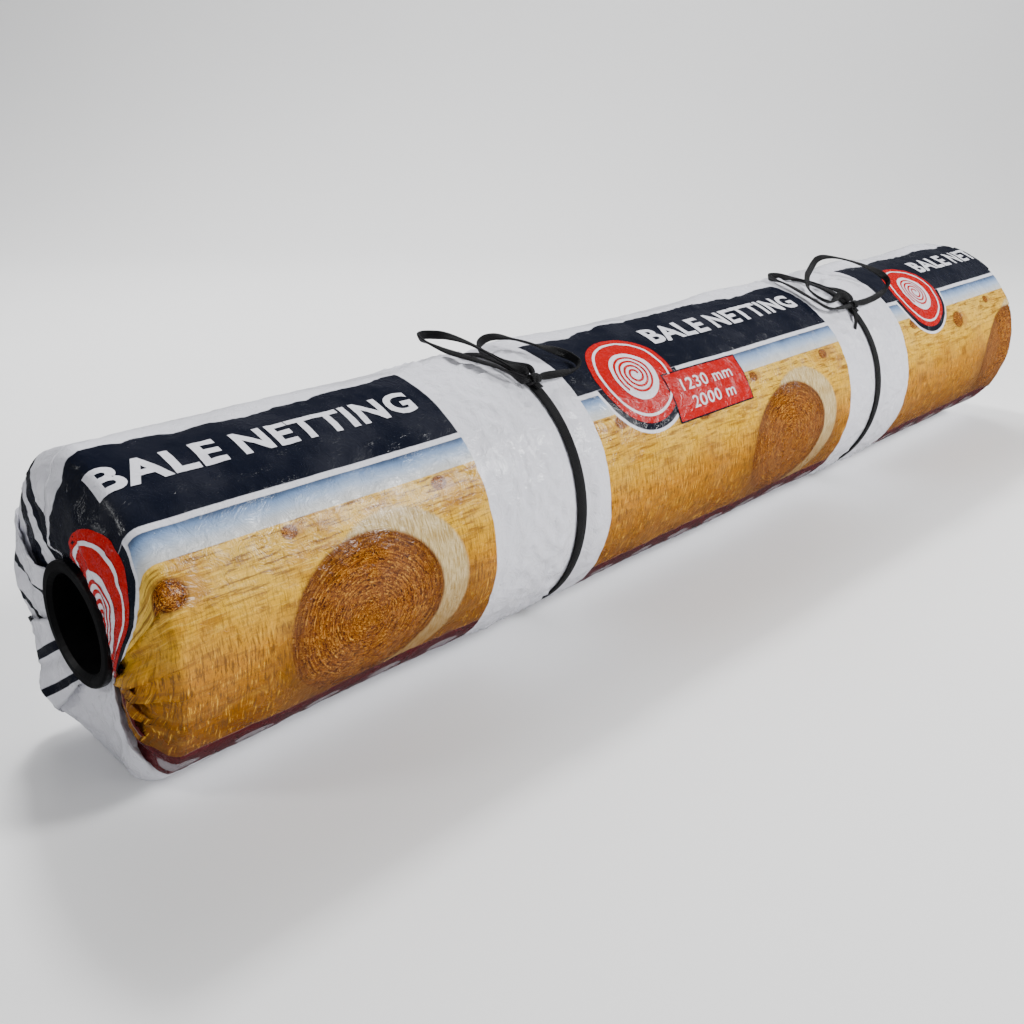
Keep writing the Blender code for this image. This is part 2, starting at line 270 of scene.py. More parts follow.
LOOP_RETURN_ANGLE = 40.0
KNOT_R = 0.0050
KNOT_LENGTH = 0.0130
GAP = 0.0003
STRAIGHT_OUT = 0.0040


# Settings that a user would change.


class FilmSettings(bpy.types.PropertyGroup):
    """The printed film."""

    header: FloatVectorProperty(
        name="Header",
        description="Ink of the dark band along the top of the print",
        subtype="COLOR",
        size=4,
        default=(0.0030, 0.0045, 0.0120, 1.0),
    )
    badge: FloatVectorProperty(
        name="Badge",
        description="Ink of the badge and the label",
        subtype="COLOR",
        size=4,
        default=(0.46, 0.004, 0.004, 1.0),
    )
    white: FloatVectorProperty(
        name="White",
        description="The film where it carries no print",
        subtype="COLOR",
        size=4,
        default=(0.74, 0.74, 0.80, 1.0),
    )
    gloss: FloatProperty(
        name="Roughness",
        description="Roughness of the film's face",
        min=0.02,
        max=1.0,
        default=0.24,
    )


class CordSettings(bpy.types.PropertyGroup):
    """The flat cord."""

    width: FloatProperty(
        name="Loop width",
        description="Width of the flat cord where it hangs free",
        unit="LENGTH",
        default=0.0074,
    )
    thickness: FloatProperty(
        name="Thickness",
        description="Thickness of the flat cord",
        unit="LENGTH",
        default=0.0021,
    )
    colour: FloatVectorProperty(
        name="Colour",
        description="Yarn of the cord",
        subtype="COLOR",
        size=4,
        default=(0.0035, 0.0035, 0.0040, 1.0),
    )


class RollSettings(bpy.types.PropertyGroup):
    """What lies under the film."""

    netting: FloatVectorProperty(
        name="Netting",
        description="Yarn of the netting",
        subtype="COLOR",
        size=4,
        default=(0.80, 0.82, 0.84, 1.0),
    )
    plastic: FloatVectorProperty(
        name="Core and plugs",
        description="Moulded plastic of the core tube and the end plugs",
        subtype="COLOR",
        size=4,
        default=(0.0035, 0.0035, 0.0038, 1.0),
    )


class StageSettings(bpy.types.PropertyGroup):
    """Camera, floor and lights."""

    lens: FloatProperty(
        name="Lens",
        description="Focal length of the camera",
        subtype="DISTANCE_CAMERA",
        default=38.22,
    )
    key_power: FloatProperty(
        name="Key light",
        description="Power of the large soft light",
        unit="POWER",
        default=27.0,
    )


# Shader recipes.


def shader_material(name):
    """A new material, its node tree and its surface shader."""
    made = bpy.data.materials.new(name)
    made.use_nodes = True
    tree = made.node_tree
    return made, tree, tree.nodes["Principled BSDF"]


def feed(tree, socket, value):
    """Link a socket, or set a plain value on it."""
    if isinstance(value, bpy.types.NodeSocket):
        tree.links.new(value, socket)
    else:
        socket.default_value = value


def calc(tree, operation, first, second=0.0, third=0.0):
    node = tree.nodes.new("ShaderNodeMath")
    node.operation = operation
    for socket, value in zip(node.inputs, (first, second, third)):
        feed(tree, socket, value)
    return node.outputs[0]


def ease(tree, value, low, high, to_low=0.0, to_high=1.0):
    """Smoothly from one value to another while the input goes from low to high."""
    node = tree.nodes.new("ShaderNodeMapRange")
    node.interpolation_type = "SMOOTHSTEP"
    for name, number in (
        ("Value", value),
        ("From Min", low),
        ("From Max", high),
        ("To Min", to_low),
        ("To Max", to_high),
    ):
        feed(tree, node.inputs[name], number)
    return node.outputs[0]


def between(tree, value, low, high, soft):
    """1 between low and high, 0 outside."""
    rise = ease(tree, calc(tree, "SUBTRACT", value, low), -soft, soft)
    fall = ease(tree, calc(tree, "SUBTRACT", value, high), -soft, soft, 1.0, 0.0)
    return calc(tree, "MULTIPLY", rise, fall)


def blend_colour(tree, factor, first, second, mode="MIX"):
    node = tree.nodes.new("ShaderNodeMix")
    node.data_type = "RGBA"
    node.blend_type = mode
    feed(tree, node.inputs[0], factor)
    feed(tree, node.inputs[6], first)
    feed(tree, node.inputs[7], second)
    return node.outputs[2]


def point_of(tree, x, y, z=0.0):
    node = tree.nodes.new("ShaderNodeCombineXYZ")
    for socket, value in zip(node.inputs, (x, y, z)):
        feed(tree, socket, value)
    return node.outputs[0]


def noise_of(tree, vector, scale, detail=3.0, rough=0.55, distortion=0.0):
    node = tree.nodes.new("ShaderNodeTexNoise")
    feed(tree, node.inputs["Vector"], vector)
    node.inputs["Scale"].default_value = scale
    node.inputs["Detail"].default_value = detail
    node.inputs["Roughness"].default_value = rough
    node.inputs["Distortion"].default_value = distortion
    return node.outputs["Fac"]


def ramp_of(tree, value, stops):
    """Colour stops as (place, (red, green, blue))."""
    node = tree.nodes.new("ShaderNodeValToRGB")
    feed(tree, node.inputs[0], value)
    marks = node.color_ramp.elements
    while len(marks) < len(stops):
        marks.new(0.5)
    for mark, (place, colour) in zip(marks, stops):
        mark.position = place
        mark.color = (*colour, 1.0)
    return node.outputs[0]


def bump_of(tree, height, strength, distance, under=None):
    node = tree.nodes.new("ShaderNodeBump")
    node.inputs["Strength"].default_value = strength
    node.inputs["Distance"].default_value = distance
    feed(tree, node.inputs["Height"], height)
    if under is not None:
        feed(tree, node.inputs["Normal"], under)
    return node.outputs[0]


def mapped(tree, name):
    """The two coordinates of a named UV map."""
    node = tree.nodes.new("ShaderNodeUVMap")
    node.uv_map = name
    parts = tree.nodes.new("ShaderNodeSeparateXYZ")
    tree.links.new(node.outputs[0], parts.inputs[0])
    return parts.outputs[0], parts.outputs[1]


def object_point(tree):
    return tree.nodes.new("ShaderNodeTexCoord").outputs["Object"]


def inside_ellipse(tree, x, y, centre, radii, soft=0.04):
    """1 inside an ellipse, and how far out a point is, 1 on its line."""
    across = calc(tree, "DIVIDE", calc(tree, "SUBTRACT", x, centre[0]), radii[0])
    down = calc(tree, "DIVIDE", calc(tree, "SUBTRACT", y, centre[1]), radii[1])
    squares = calc(
        tree, "ADD", calc(tree, "POWER", calc(tree, "ABSOLUTE", across), 2.0),
        calc(tree, "POWER", calc(tree, "ABSOLUTE", down), 2.0),
    )
    out = calc(tree, "SQRT", squares)
    return ease(tree, out, 1.0 - soft, 1.0 + soft, 1.0, 0.0), out


# The film's surface.


def soft_noise(rng, u, v, wavelength, waves=24, stretch=1.0):
    """A smooth random field from about -1 to 1; stretch lengthens it along the first coordinate."""
    field = np.zeros(np.broadcast(u, v).shape)
    for _ in range(waves):
        heading = rng.uniform(0, pi)
        rate = tau / wavelength * rng.uniform(0.6, 1.5)
        step_u, step_v = rate * cos(heading) / stretch, rate * sin(heading)
        around = round(step_v * GIRTH / tau) * tau / GIRTH  # whole waves round the roll
        field += np.cos(step_u * u + around * v + rng.uniform(0, tau))
    return field / (0.5 * waves) ** 0.5 / 2.2


def crease_noise(rng, u, v, wavelength, stretch=1.0):
    """Sharp ridges that wander, from 0 to 1."""
    return np.clip(1.0 - np.abs(soft_noise(rng, u, v, wavelength, stretch=stretch)) * 2.4, 0, 1) ** 1.5


def smooth_step(value):
    value = np.clip(value, 0.0, 1.0)
    return value * value * (3.0 - 2.0 * value)


def dent_at(x):
    """1 under the middle of a tied cord, falling smoothly to 0 beside it."""
    deepest = np.zeros_like(x)
    for tie in TIES.values():
        away = np.clip(np.abs(x - tie) - BAND_WIDTH / 2 - 2 * GAP, 0.0, DENT_REACH)
        deepest = np.maximum(deepest, 0.5 + 0.5 * np.cos(pi * away / DENT_REACH))
    return deepest


def bare_band(x):
    """1 on the two unprinted bands, 0 on the panels."""
    place = np.mod(x - PANEL_START, REPEAT)
    return smooth_step((place - PANEL) / 0.03) * smooth_step((REPEAT - place) / 0.03)


def pleated_row(pleats, excess):
    """One ring of the film, drawn in by excess in radius.

    Gives, for each column, its place round the flat film, its place round the ring, its level and how
    far along its facet it is.
    """
    total = sum(share for _, share, _ in pleats)
    marks, film, signs, slopes, drops = [], [], [], [], []
    for turn, share, sign in pleats:
        middle = (turn - SEAM_TURN) * PER_DEGREE
        part = share / total
        width = max(PLEAT_START, part * pi * excess)
        slope = 1.0 - tau * part * excess / width
        slopes.append(slope)
        drops.append(max(PLEAT_DROP * smooth_step(excess / 0.030), 0.85 * width * (1 - slope**2) ** 0.5))
        column = round(middle / GIRTH * COLUMNS) - FOLD_COLUMNS // 2
        marks.append((column, column + FOLD_COLUMNS))
        film.append((middle - width / 2, middle + width / 2))
        signs.append(sign)
    marks = [(marks[-1][0] - COLUMNS, marks[-1][1] - COLUMNS)] + marks
    film = [(film[-1][0] - GIRTH, film[-1][1] - GIRTH)] + film
    marks.append((marks[1][0] + COLUMNS, marks[1][1] + COLUMNS))
    film.append((film[1][0] + GIRTH, film[1][1] + GIRTH))
    signs = [signs[-1]] + signs + [signs[0]]
    slopes = [slopes[-1]] + slopes + [slopes[0]]
    drops = [drops[-1]] + drops + [drops[0]]
    knots, flat, place, level, facet = [], [], [], [], []
    at = 0.0
    for i, ((first, last), (start, end)) in enumerate(zip(marks, film)):
        if i:
            at += start - film[i - 1][1]
        knots += [first, last]
        flat += [start, end]
        place += [at, at + slopes[i] * (end - start)]
        at = place[-1]
        level += [0.0, -drops[i]] if signs[i] > 0 else [-drops[i], 0.0]
        facet += [1.0, 0.0]
    columns = np.arange(COLUMNS + 1)
    flat = np.interp(columns, knots, flat)
    place = np.interp(columns, knots, place)
    level = np.interp(columns, knots, level)
    facet = np.interp(columns, knots, facet)
    return flat, place, level, facet


def cusp(facet):
    """0 in the middle of a facet, 1 at the pleats beside it."""
    return np.abs(2.0 * np.clip(facet, 0.0, 1.0) - 1.0) ** 1.6


def clear_of_net(x, r):
    """Push places, out along the roll and out from its axis, off the netting's rounded end."""
    corner = NET_CORNER_R
    past_x = np.maximum(x - (NET_END - corner), 0.0)
    past_r = np.maximum(r - (NET_R - corner), 0.0)
    away = np.maximum(np.hypot(past_x, past_r), 1e-9)
    short = np.where((past_x > 0) | (past_r > 0), np.maximum(corner + 0.0006 - away, 0.0), 0.0)
    return x + short * past_x / away, r + short * past_r / away


def end_row(end, beyond, roughness):
    """Places of one ring of the film past the straight side: (along, across, up, flat place)."""
    pleats, bulges, creases, puff, corner_lift = end
    corner = min(beyond / SHOULDER_R, pi / 2)
    past = max(beyond - SHOULDER_R * pi / 2, 0.0)
    radius = FILM_R - SHOULDER_R + SHOULDER_R * cos(corner) - past
    out = FILM_STRAIGHT + SHOULDER_R * sin(corner)
    excess = FILM_R - radius
    flat, place, level, facet = pleated_row(pleats, excess)
    angle = place / radius
    angle -= np.mean((angle - flat / FILM_R)[:-1])
    turn = np.degrees(angle) + SEAM_TURN
    lift = level + puff * smooth_step(past / 0.016) + corner_lift * cusp(facet)
    gathers = np.cos(np.radians(turn) * 34 + 2.0 * np.sin(np.radians(turn) * 5))
    lift += 0.0009 * gathers * smooth_step((excess - 0.035) / 0.035)
    stack = (FILM_FACE - NET_END - 0.0012) * smooth_step(past / 0.045)
    bulge = np.zeros_like(turn)
    for at, at_r, height, wide, deep in bulges:
        apart = (turn - at + 180.0) % 360.0 - 180.0
        bulge += height * np.exp(-((apart / wide) ** 2) - ((radius - at_r) / deep) ** 2)
    for at, depth, wide in creases:
        apart = (flat / PER_DEGREE + SEAM_TURN - at + 180.0) % 360.0 - 180.0
        valley = np.clip(1.0 - np.abs(apart / wide), 0.0, 1.0) ** 1.3
        lift -= depth * valley * smooth_step((past + 0.004) / 0.026)
    lift += roughness
    x = out + (lift + bulge) * sin(corner) + stack
    r = radius + (lift + 0.4 * bulge) * cos(corner)
    x, r = clear_of_net(x, r)
    near_hole = smooth_step((radius - PLUG_R) / 0.012)
    x = np.where(radius < PLUG_R + 0.012, x * near_hole + (FILM_FACE - 0.0005) * (1 - near_hole), x)
    x += np.clip(level, -0.0030, 0.0) * (1 - near_hole) * 0.4
    return x, -r * np.sin(np.radians(turn)), r * np.cos(np.radians(turn)), flat


def body_offset(along, flat, rng):
    """How far the film lies off the straight tube: slack, crinkles, and the dents of the cords."""
    turn = flat / PER_DEGREE + SEAM_TURN
    bare = bare_band(along)
    dent = dent_at(along)
    lie = 0.0 * along
    slack = soft_noise(rng, along, flat, 0.16, stretch=1.4)
    lie += 0.0011 * slack
    lie -= 0.0006 * crease_noise(rng, along, flat, 0.075, stretch=1.6)
    lie += 0.0008 * crease_noise(rng, along, flat, 0.040, stretch=0.6) * (0.5 + 2.0 * bare)
    lie += 0.00045 * crease_noise(rng, along, flat, 0.017) * (0.5 + 2.6 * bare)
    ridge = np.exp(-(((turn + 6.0 + 9.0 * soft_noise(rng, along, 0 * flat, 0.30)) / 7.0) ** 2))
    lie += 0.0052 * ridge * (0.55 + 0.45 * soft_noise(rng, along, 0 * flat, 0.13))
    drawn = np.zeros_like(along)
    for tie in TIES.values():
        drawn = np.maximum(drawn, np.exp(-(((np.abs(along - tie) - 0.010) / 0.016) ** 2)))
    lie += 0.0013 * drawn * soft_noise(rng, along, flat, 0.011, stretch=4.0)
    return lie * (1.0 - 0.9 * dent) - DENT * dent


def film_grid():
    """Every vertex of the film: places (rows, columns, 3) and flat places (rows, columns, 2)."""
    rng = np.random.default_rng(11)
    reach = np.linspace(0.0, 1.0, END_ROWS + 1)[1:] * END_REACH
    straight = np.linspace(-FILM_STRAIGHT, FILM_STRAIGHT, BODY_ROWS)
    along = np.concatenate([-(FILM_STRAIGHT + reach[::-1]), straight, FILM_STRAIGHT + reach])
    even = np.linspace(0.0, GIRTH, COLUMNS + 1)
    flats = np.tile(even, (len(along), 1))
    for pleats, side in ((NEAR_PLEATS, -1), (FAR_PLEATS, 1)):
        warped = pleated_row(pleats, 0.0)[0]
        near = smooth_step((side * along - FILM_STRAIGHT + 0.06) / 0.055)[:, None]
        flats = flats * (1 - near) + warped[None, :] * near
    run = np.repeat(along[:, None], COLUMNS + 1, 1)
    lie = body_offset(run, flats, rng)
    for (pleats, _, _, _, corner_lift), side in ((NEAR_END, -1), (FAR_END, 1)):
        near = smooth_step((side * along - FILM_STRAIGHT + 0.05) / 0.05)[:, None]
        edges = cusp(pleated_row(pleats, 0.0)[3])[None, :]
        lie += corner_lift * near**2 * edges * (np.abs(along) <= FILM_STRAIGHT)[:, None]
    crumple = 0.0011 * crease_noise(rng, run, flats, 0.030)
    crumple += 0.0006 * soft_noise(rng, run, flats, 0.018)
    places = np.zeros((len(along), COLUMNS + 1, 3))
    for i, x in enumerate(along):
        if abs(x) <= FILM_STRAIGHT:
            turn = np.radians(flats[i] / PER_DEGREE + SEAM_TURN)
            radius = FILM_R + lie[i]
            places[i] = np.stack([np.full_like(turn, x), -radius * np.sin(turn), radius * np.cos(turn)], 1)
            continue
        side = 1 if x > 0 else -1
        rough = lie[i] * 0.5 + crumple[i] * smooth_step((abs(x) - FILM_STRAIGHT) / 0.02)
        out, across, up, flat = end_row(FAR_END if side > 0 else NEAR_END, abs(x) - FILM_STRAIGHT, rough)
        places[i] = np.stack([side * out, across, up], 1)
        flats[i] = flat
    places[..., 2] += AXIS_HEIGHT
    places[..., 2] = np.maximum(places[..., 2], 0.0002 + 0.0006 * np.maximum(lie / 0.003, 0.0))
    return places, np.stack([run, flats], 2)


class FilmSurface:
    """The film's vertices, and where any point of the flat film lies on them."""

    def __init__(self):
        self.places, self.flat = film_grid()
        self.normals = self.face_out()

    def face_out(self):
        down = np.gradient(self.places, axis=0)
        closed = np.concatenate([self.places[:, -2:-1], self.places, self.places[:, 1:2]], 1)
        ring = np.gradient(closed, axis=1)
        normal = np.cross(ring[:, 1:-1], down)
        normal /= np.maximum(np.linalg.norm(normal, axis=2, keepdims=True), 1e-12)
        outward = self.places - np.array([0.0, 0.0, AXIS_HEIGHT])
        outward[..., 0] = 0
        middle = len(self.places) // 2
        if np.sum(normal[middle] * outward[middle]) < 0:
            normal = -normal
        return normal

    def at(self, along, turn, lift=0.0):
        """World points of flat places: along the roll in metres and turns in degrees."""
        rows = self.flat[:, 0, 0]
        spot = np.interp(along, rows, np.arange(len(rows)))
        found = np.zeros((len(spot), 3))
        facing = np.zeros((len(spot), 3))
        round_film = (np.asarray(turn) - SEAM_TURN) * PER_DEGREE
        for k, (row, place) in enumerate(zip(spot, round_film)):
            low = min(int(row), len(rows) - 2)
            share = row - low
            for i, part in ((low, 1 - share), (low + 1, share)):
                column = np.interp(place, self.flat[i, :, 1], np.arange(COLUMNS + 1))
                left = min(int(column), COLUMNS - 1)
                rest = column - left
                for j, weight in ((left, 1 - rest), (left + 1, rest)):
                    found[k] += part * weight * self.places[i, j]
                    facing[k] += part * weight * self.normals[i, j]
        facing /= np.maximum(np.linalg.norm(facing, axis=1, keepdims=True), 1e-12)
        return found + facing * lift


# Mesh helpers.


def shown(name, mesh, material):
    """An object of a mesh, in the scene, with a material."""
    made = bpy.data.objects.new(name, mesh)
    bpy.context.scene.collection.objects.link(made)
    mesh.materials.append(material)
    return made


def grid_mesh(name, places, maps=None, map_name="film", wrap_rows=False):
    """A mesh of quads over (rows, columns, 3); its last column lies on its first where wrap_rows."""
    rows, columns = places.shape[:2]
    kept = columns - 1 if wrap_rows else columns
    index = np.arange(rows * kept).reshape(rows, kept)
    if wrap_rows:
        index = np.concatenate([index, index[:, :1]], 1)
    quads = np.stack([index[:-1, :-1], index[:-1, 1:], index[1:, 1:], index[1:, :-1]], 2).reshape(-1, 4)
    mesh = bpy.data.meshes.new(name)
    mesh.from_pydata(places[:, :kept].reshape(-1, 3).tolist(), [], quads.tolist())
    if maps is not None:
        layer = mesh.uv_layers.new(name=map_name)
        corners = np.stack([maps[:-1, :-1], maps[:-1, 1:], maps[1:, 1:], maps[1:, :-1]], 2)
        layer.data.foreach_set("uv", corners.reshape(-1).astype(np.float32))
    mesh.shade_smooth()
    return mesh


def sweep(name, route, normals, width, thickness, map_name="strand", sides=14):
    """A flat cord along a route, as a closed mesh. Widths and thicknesses may vary along it."""
    route = np.asarray(route, float)
    count = len(route)
    width = np.broadcast_to(np.asarray(width, float), count)
    thickness = np.broadcast_to(np.asarray(thickness, float), count)
    tangent = np.gradient(route, axis=0)
    tangent /= np.linalg.norm(tangent, axis=1, keepdims=True)
    normals = normals - tangent * np.sum(normals * tangent, 1, keepdims=True)
    normals /= np.linalg.norm(normals, axis=1, keepdims=True)
    side = np.cross(tangent, normals)
    spots = np.arange(sides) / sides * tau
    across = np.sign(np.cos(spots)) * np.abs(np.cos(spots)) ** 0.75 * 0.5
    above = np.sign(np.sin(spots)) * np.abs(np.sin(spots)) ** 0.75 * 0.5
    ring = route[:, None] + side[:, None] * (across[None, :, None] * width[:, None, None])
    ring = ring + normals[:, None] * (above[None, :, None] * thickness[:, None, None])
    ring = np.concatenate([ring, ring[:, :1]], 1)
    length = np.concatenate([[0.0], np.cumsum(np.linalg.norm(np.diff(route, axis=0), axis=1))])
    maps = np.zeros((count, sides + 1, 2))
    maps[..., 0] = length[:, None]
    maps[..., 1] = np.concatenate([across, across[:1]])[None, :] * np.mean(width)
    mesh = grid_mesh(name, ring, maps, map_name, wrap_rows=True)
    form = bmesh.new()
    form.from_mesh(mesh)
    form.verts.ensure_lookup_table()
    for start in (0, (count - 1) * sides):
        form.faces.new([form.verts[start + k] for k in range(sides)])
    bmesh.ops.recalc_face_normals(form, faces=form.faces)
    form.to_mesh(mesh)
    form.free()
    mesh.shade_smooth()
    return mesh


def smooth_route(points, per_span):
    """A Catmull-Rom curve through the points, with per_span points for each stretch."""
    points = np.asarray(points, float)
    ends = np.concatenate([[2 * points[0] - points[1]], points, [2 * points[-1] - points[-2]]])
    route = []
    for i in range(1, len(ends) - 2):
        a, b, c, d = ends[i - 1 : i + 3]
        for k in range(per_span):
            t = k / per_span
            bend = 0.5 * (2 * b + (c - a) * t + (2 * a - 5 * b + 4 * c - d) * t**2)
            route.append(bend + 0.5 * (3 * b - a - 3 * c + d) * t**3)
    return np.array(route + [points[-1]])


def away_from_axis(points):
    """Unit vectors straight out from the roll's axis."""
    out = np.array(points, float) - np.array([0.0, 0.0, AXIS_HEIGHT])
    out[:, 0] = 0.0
    return out / np.maximum(np.linalg.norm(out, axis=1, keepdims=True), 1e-9)


# Materials.


def film_print(tree, settings):
    """The film's printed colours, from its place along the roll and round it."""
    along, turn = mapped(tree, "film")
    panel = calc(tree, "FLOORED_MODULO", calc(tree, "SUBTRACT", along, PANEL_START), REPEAT)
    arc = calc(tree, "MULTIPLY", turn, PER_DEGREE)
    spot = point_of(tree, along, arc)
    wander = noise_of(tree, point_of(tree, along, 0.0), 15.0, 3.0)
    slow = calc(tree, "MULTIPLY", calc(tree, "SUBTRACT", wander, 0.5), 15.0)
    sway = noise_of(tree, point_of(tree, 0.0, arc), 11.0, 2.0)
    edge = calc(tree, "ADD", panel, calc(tree, "MULTIPLY", calc(tree, "SUBTRACT", sway, 0.5), 0.008))
    on_panel = between(tree, edge, 0.0, PANEL, 0.0005)

    cloud = noise_of(tree, point_of(tree, calc(tree, "MULTIPLY", along, 2.0), arc), 16.0, 4.0)
    sky = ramp_of(
        tree,
        ease(tree, calc(tree, "ADD", turn, calc(tree, "MULTIPLY", cloud, 3.0)), LINE_FOOT, HORIZON + 2.0),
        [
            (0.0, (0.022, 0.035, 0.075)),
            (0.20, (0.17, 0.27, 0.46)),
            (0.6, (0.40, 0.50, 0.66)),
            (1.0, (0.60, 0.59, 0.55)),
        ],
    )
    streaks = noise_of(tree, point_of(tree, calc(tree, "MULTIPLY", along, 0.16), arc), 120.0, 5.0, 0.7)
    drills = noise_of(tree, point_of(tree, calc(tree, "MULTIPLY", along, 0.10), arc), 420.0, 3.0, 0.65)
    stubble = noise_of(tree, point_of(tree, along, calc(tree, "MULTIPLY", arc, 0.30)), 420.0, 3.0, 0.7)
    rows = noise_of(tree, point_of(tree, calc(tree, "MULTIPLY", along, 0.22), arc), 150.0, 3.0, 0.6)
    depth = ease(tree, turn, HORIZON, FIELD_FOOT)
    field = ramp_of(
        tree,
        depth,
        [
            (0.0, (0.72, 0.44, 0.05)),
            (0.22, (0.74, 0.40, 0.012)),
            (0.55, (0.54, 0.21, 0.003)),
            (1.0, (0.20, 0.055, 0.001)),
        ],
    )
    field = blend_colour(tree, ease(tree, rows, 0.51, 0.63, 0.0, 0.65), field, (0.26, 0.095, 0.008, 1.0))
    far_field = ease(tree, turn, 62.0, 88.0, 0.85, 0.10)
    pale_streaks = calc(tree, "MULTIPLY", ease(tree, streaks, 0.50, 0.64), far_field)
    field = blend_colour(tree, pale_streaks, field, (0.85, 0.50, 0.06, 1.0))
    patches = noise_of(tree, point_of(tree, along, arc), 14.0, 3.0, 0.6)
    field = blend_colour(tree, ease(tree, patches, 0.48, 0.66, 0.0, 0.55), field, (0.42, 0.16, 0.006, 1.0))
    dark_drills = calc(tree, "MULTIPLY", ease(tree, drills, 0.53, 0.62), far_field)
    field = blend_colour(tree, dark_drills, field, (0.20, 0.085, 0.010, 1.0))
    pale_drills = calc(tree, "MULTIPLY", ease(tree, drills, 0.45, 0.37), far_field)
    field = blend_colour(tree, pale_drills, field, (0.86, 0.54, 0.08, 1.0))
    stalks = noise_of(tree, point_of(tree, along, calc(tree, "MULTIPLY", arc, 0.13)), 620.0, 3.0, 0.7)
    low_field = ease(tree, turn, 64.0, 96.0, 0.20, 0.90)
    dark_stalks = calc(tree, "MULTIPLY", ease(tree, stalks, 0.50, 0.60), low_field)
    field = blend_colour(tree, dark_stalks, field, (0.16, 0.065, 0.008, 1.0))
    pale_stalks = calc(tree, "MULTIPLY", ease(tree, stalks, 0.42, 0.34), low_field)
    field = blend_colour(tree, pale_stalks, field, (0.80, 0.42, 0.04, 1.0))
    field = blend_colour(tree, ease(tree, stubble, 0.54, 0.68, 0.0, 0.45), field, (0.22, 0.10, 0.015, 1.0))
    ground = between(tree, turn, HORIZON, FIELD_FOOT, 0.25)
    picture = blend_colour(tree, ground, sky, field)
    picture = bales(tree, picture, panel, turn, arc, spot)

    ovals = stripe_marks(tree, panel, turn)
    stripe = blend_colour(tree, ovals, (0.09, 0.006, 0.008, 1.0), (0.30, 0.26, 0.28, 1.0))
    picture = blend_colour(tree, between(tree, turn, FIELD_FOOT, STRIPE_FOOT, 0.25), picture, stripe)
    fade = ease(tree, turn, HEADER_TOP, HEADER_FOOT, 0.0, 0.35)
    header = blend_colour(tree, fade, settings.header, (0.010, 0.012, 0.020, 1.0))
    header_edge = calc(tree, "ADD", HEADER_TOP, slow)
    picture = blend_colour(tree, between(tree, turn, header_edge, HEADER_FOOT, 0.25), picture, header)
    white = settings.white
    picture = blend_colour(tree, between(tree, turn, HEADER_FOOT, LINE_FOOT, 0.2), picture, white)
    below = ease(tree, turn, HEADER_FOOT - 0.3, HEADER_FOOT + 0.3)
    badge_at = (BADGE_AT[0], BADGE_AT[1] * PER_DEGREE)
    for radius, ink in ((BADGE_LINE_R, white), (BADGE_RIM_R, header)):
        disc, _ = inside_ellipse(tree, panel, arc, badge_at, (radius, radius), 0.008)
        picture = blend_colour(tree, calc(tree, "MULTIPLY", disc, below), picture, ink)
    front = between(tree, turn, header_edge, STRIPE_FOOT, 0.25)
    picture = blend_colour(tree, calc(tree, "MULTIPLY", on_panel, front), white, picture)
    back = calc(tree, "MULTIPLY", on_panel, back_marks(tree, panel, turn))
    return blend_colour(tree, back, picture, header), along, turn, arc, spot


def bales(tree, picture, panel, turn, arc, spot):
    """Round straw bales on the field: a large one, and small ones towards the horizon."""
    fibres = noise_of(tree, spot, 260.0, 4.0, 0.7, 1.5)
    for (x, at), (wide, tall), size in (
        ((0.0325, 57.6), (0.0078, 3.0), 0.0),
        ((0.142, 63.6), (0.0130, 5.2), 0.0),
        ((0.232, 57.0), (0.0062, 2.5), 0.0),
        ((0.360, 57.2), (0.0070, 2.7), 0.0),
        ((0.281, 95.5), (0.0660, 30.0), 1.0),
    ):
        if size:
            picture = bale_body(tree, picture, panel, turn, arc, (x, at), (wide, tall))
        else:
            beside, spread = (x + 0.8 * wide, at + 0.1 * tall), (1.2 * wide, 0.9 * tall)
            side, _ = inside_ellipse(tree, panel, turn, beside, spread, 0.25)
            picture = blend_colour(tree, calc(tree, "MULTIPLY", side, 0.8), picture, (0.46, 0.22, 0.03, 1.0))
        hairy = calc(tree, "ADD", turn, calc(tree, "MULTIPLY", fibres, size))
        face, out = inside_ellipse(tree, panel, hairy, (x, at), (wide, tall), 0.03 if size else 0.16)
        down = calc(tree, "MULTIPLY", calc(tree, "SUBTRACT", turn, at), PER_DEGREE)
        swing = calc(tree, "ARCTAN2", down, calc(tree, "SUBTRACT", panel, x))
        swing = calc(tree, "ADD", swing, calc(tree, "MULTIPLY", fibres, 0.9))
        wound = point_of(tree, calc(tree, "MULTIPLY", swing, 0.35), out)
        strand = noise_of(tree, wound, 46.0 if size else 14.0, 4.0, 0.7, 0.6)
        straw = ramp_of(
            tree,
            calc(tree, "ADD", calc(tree, "MULTIPLY", strand, 0.75), calc(tree, "MULTIPLY", fibres, 0.25)),
            [
                (0.42, (0.012, 0.003, 0.0005)),
                (0.49, (0.15, 0.035, 0.002)),
                (0.55, (0.36, 0.11, 0.005)),
                (0.63, (0.85, 0.46, 0.08)),
            ],
        )
        straw = blend_colour(tree, ease(tree, out, 0.70, 1.0, 0.0, 0.55), straw, (0.10, 0.030, 0.004, 1.0))
        picture = blend_colour(tree, face, picture, straw)
    return picture


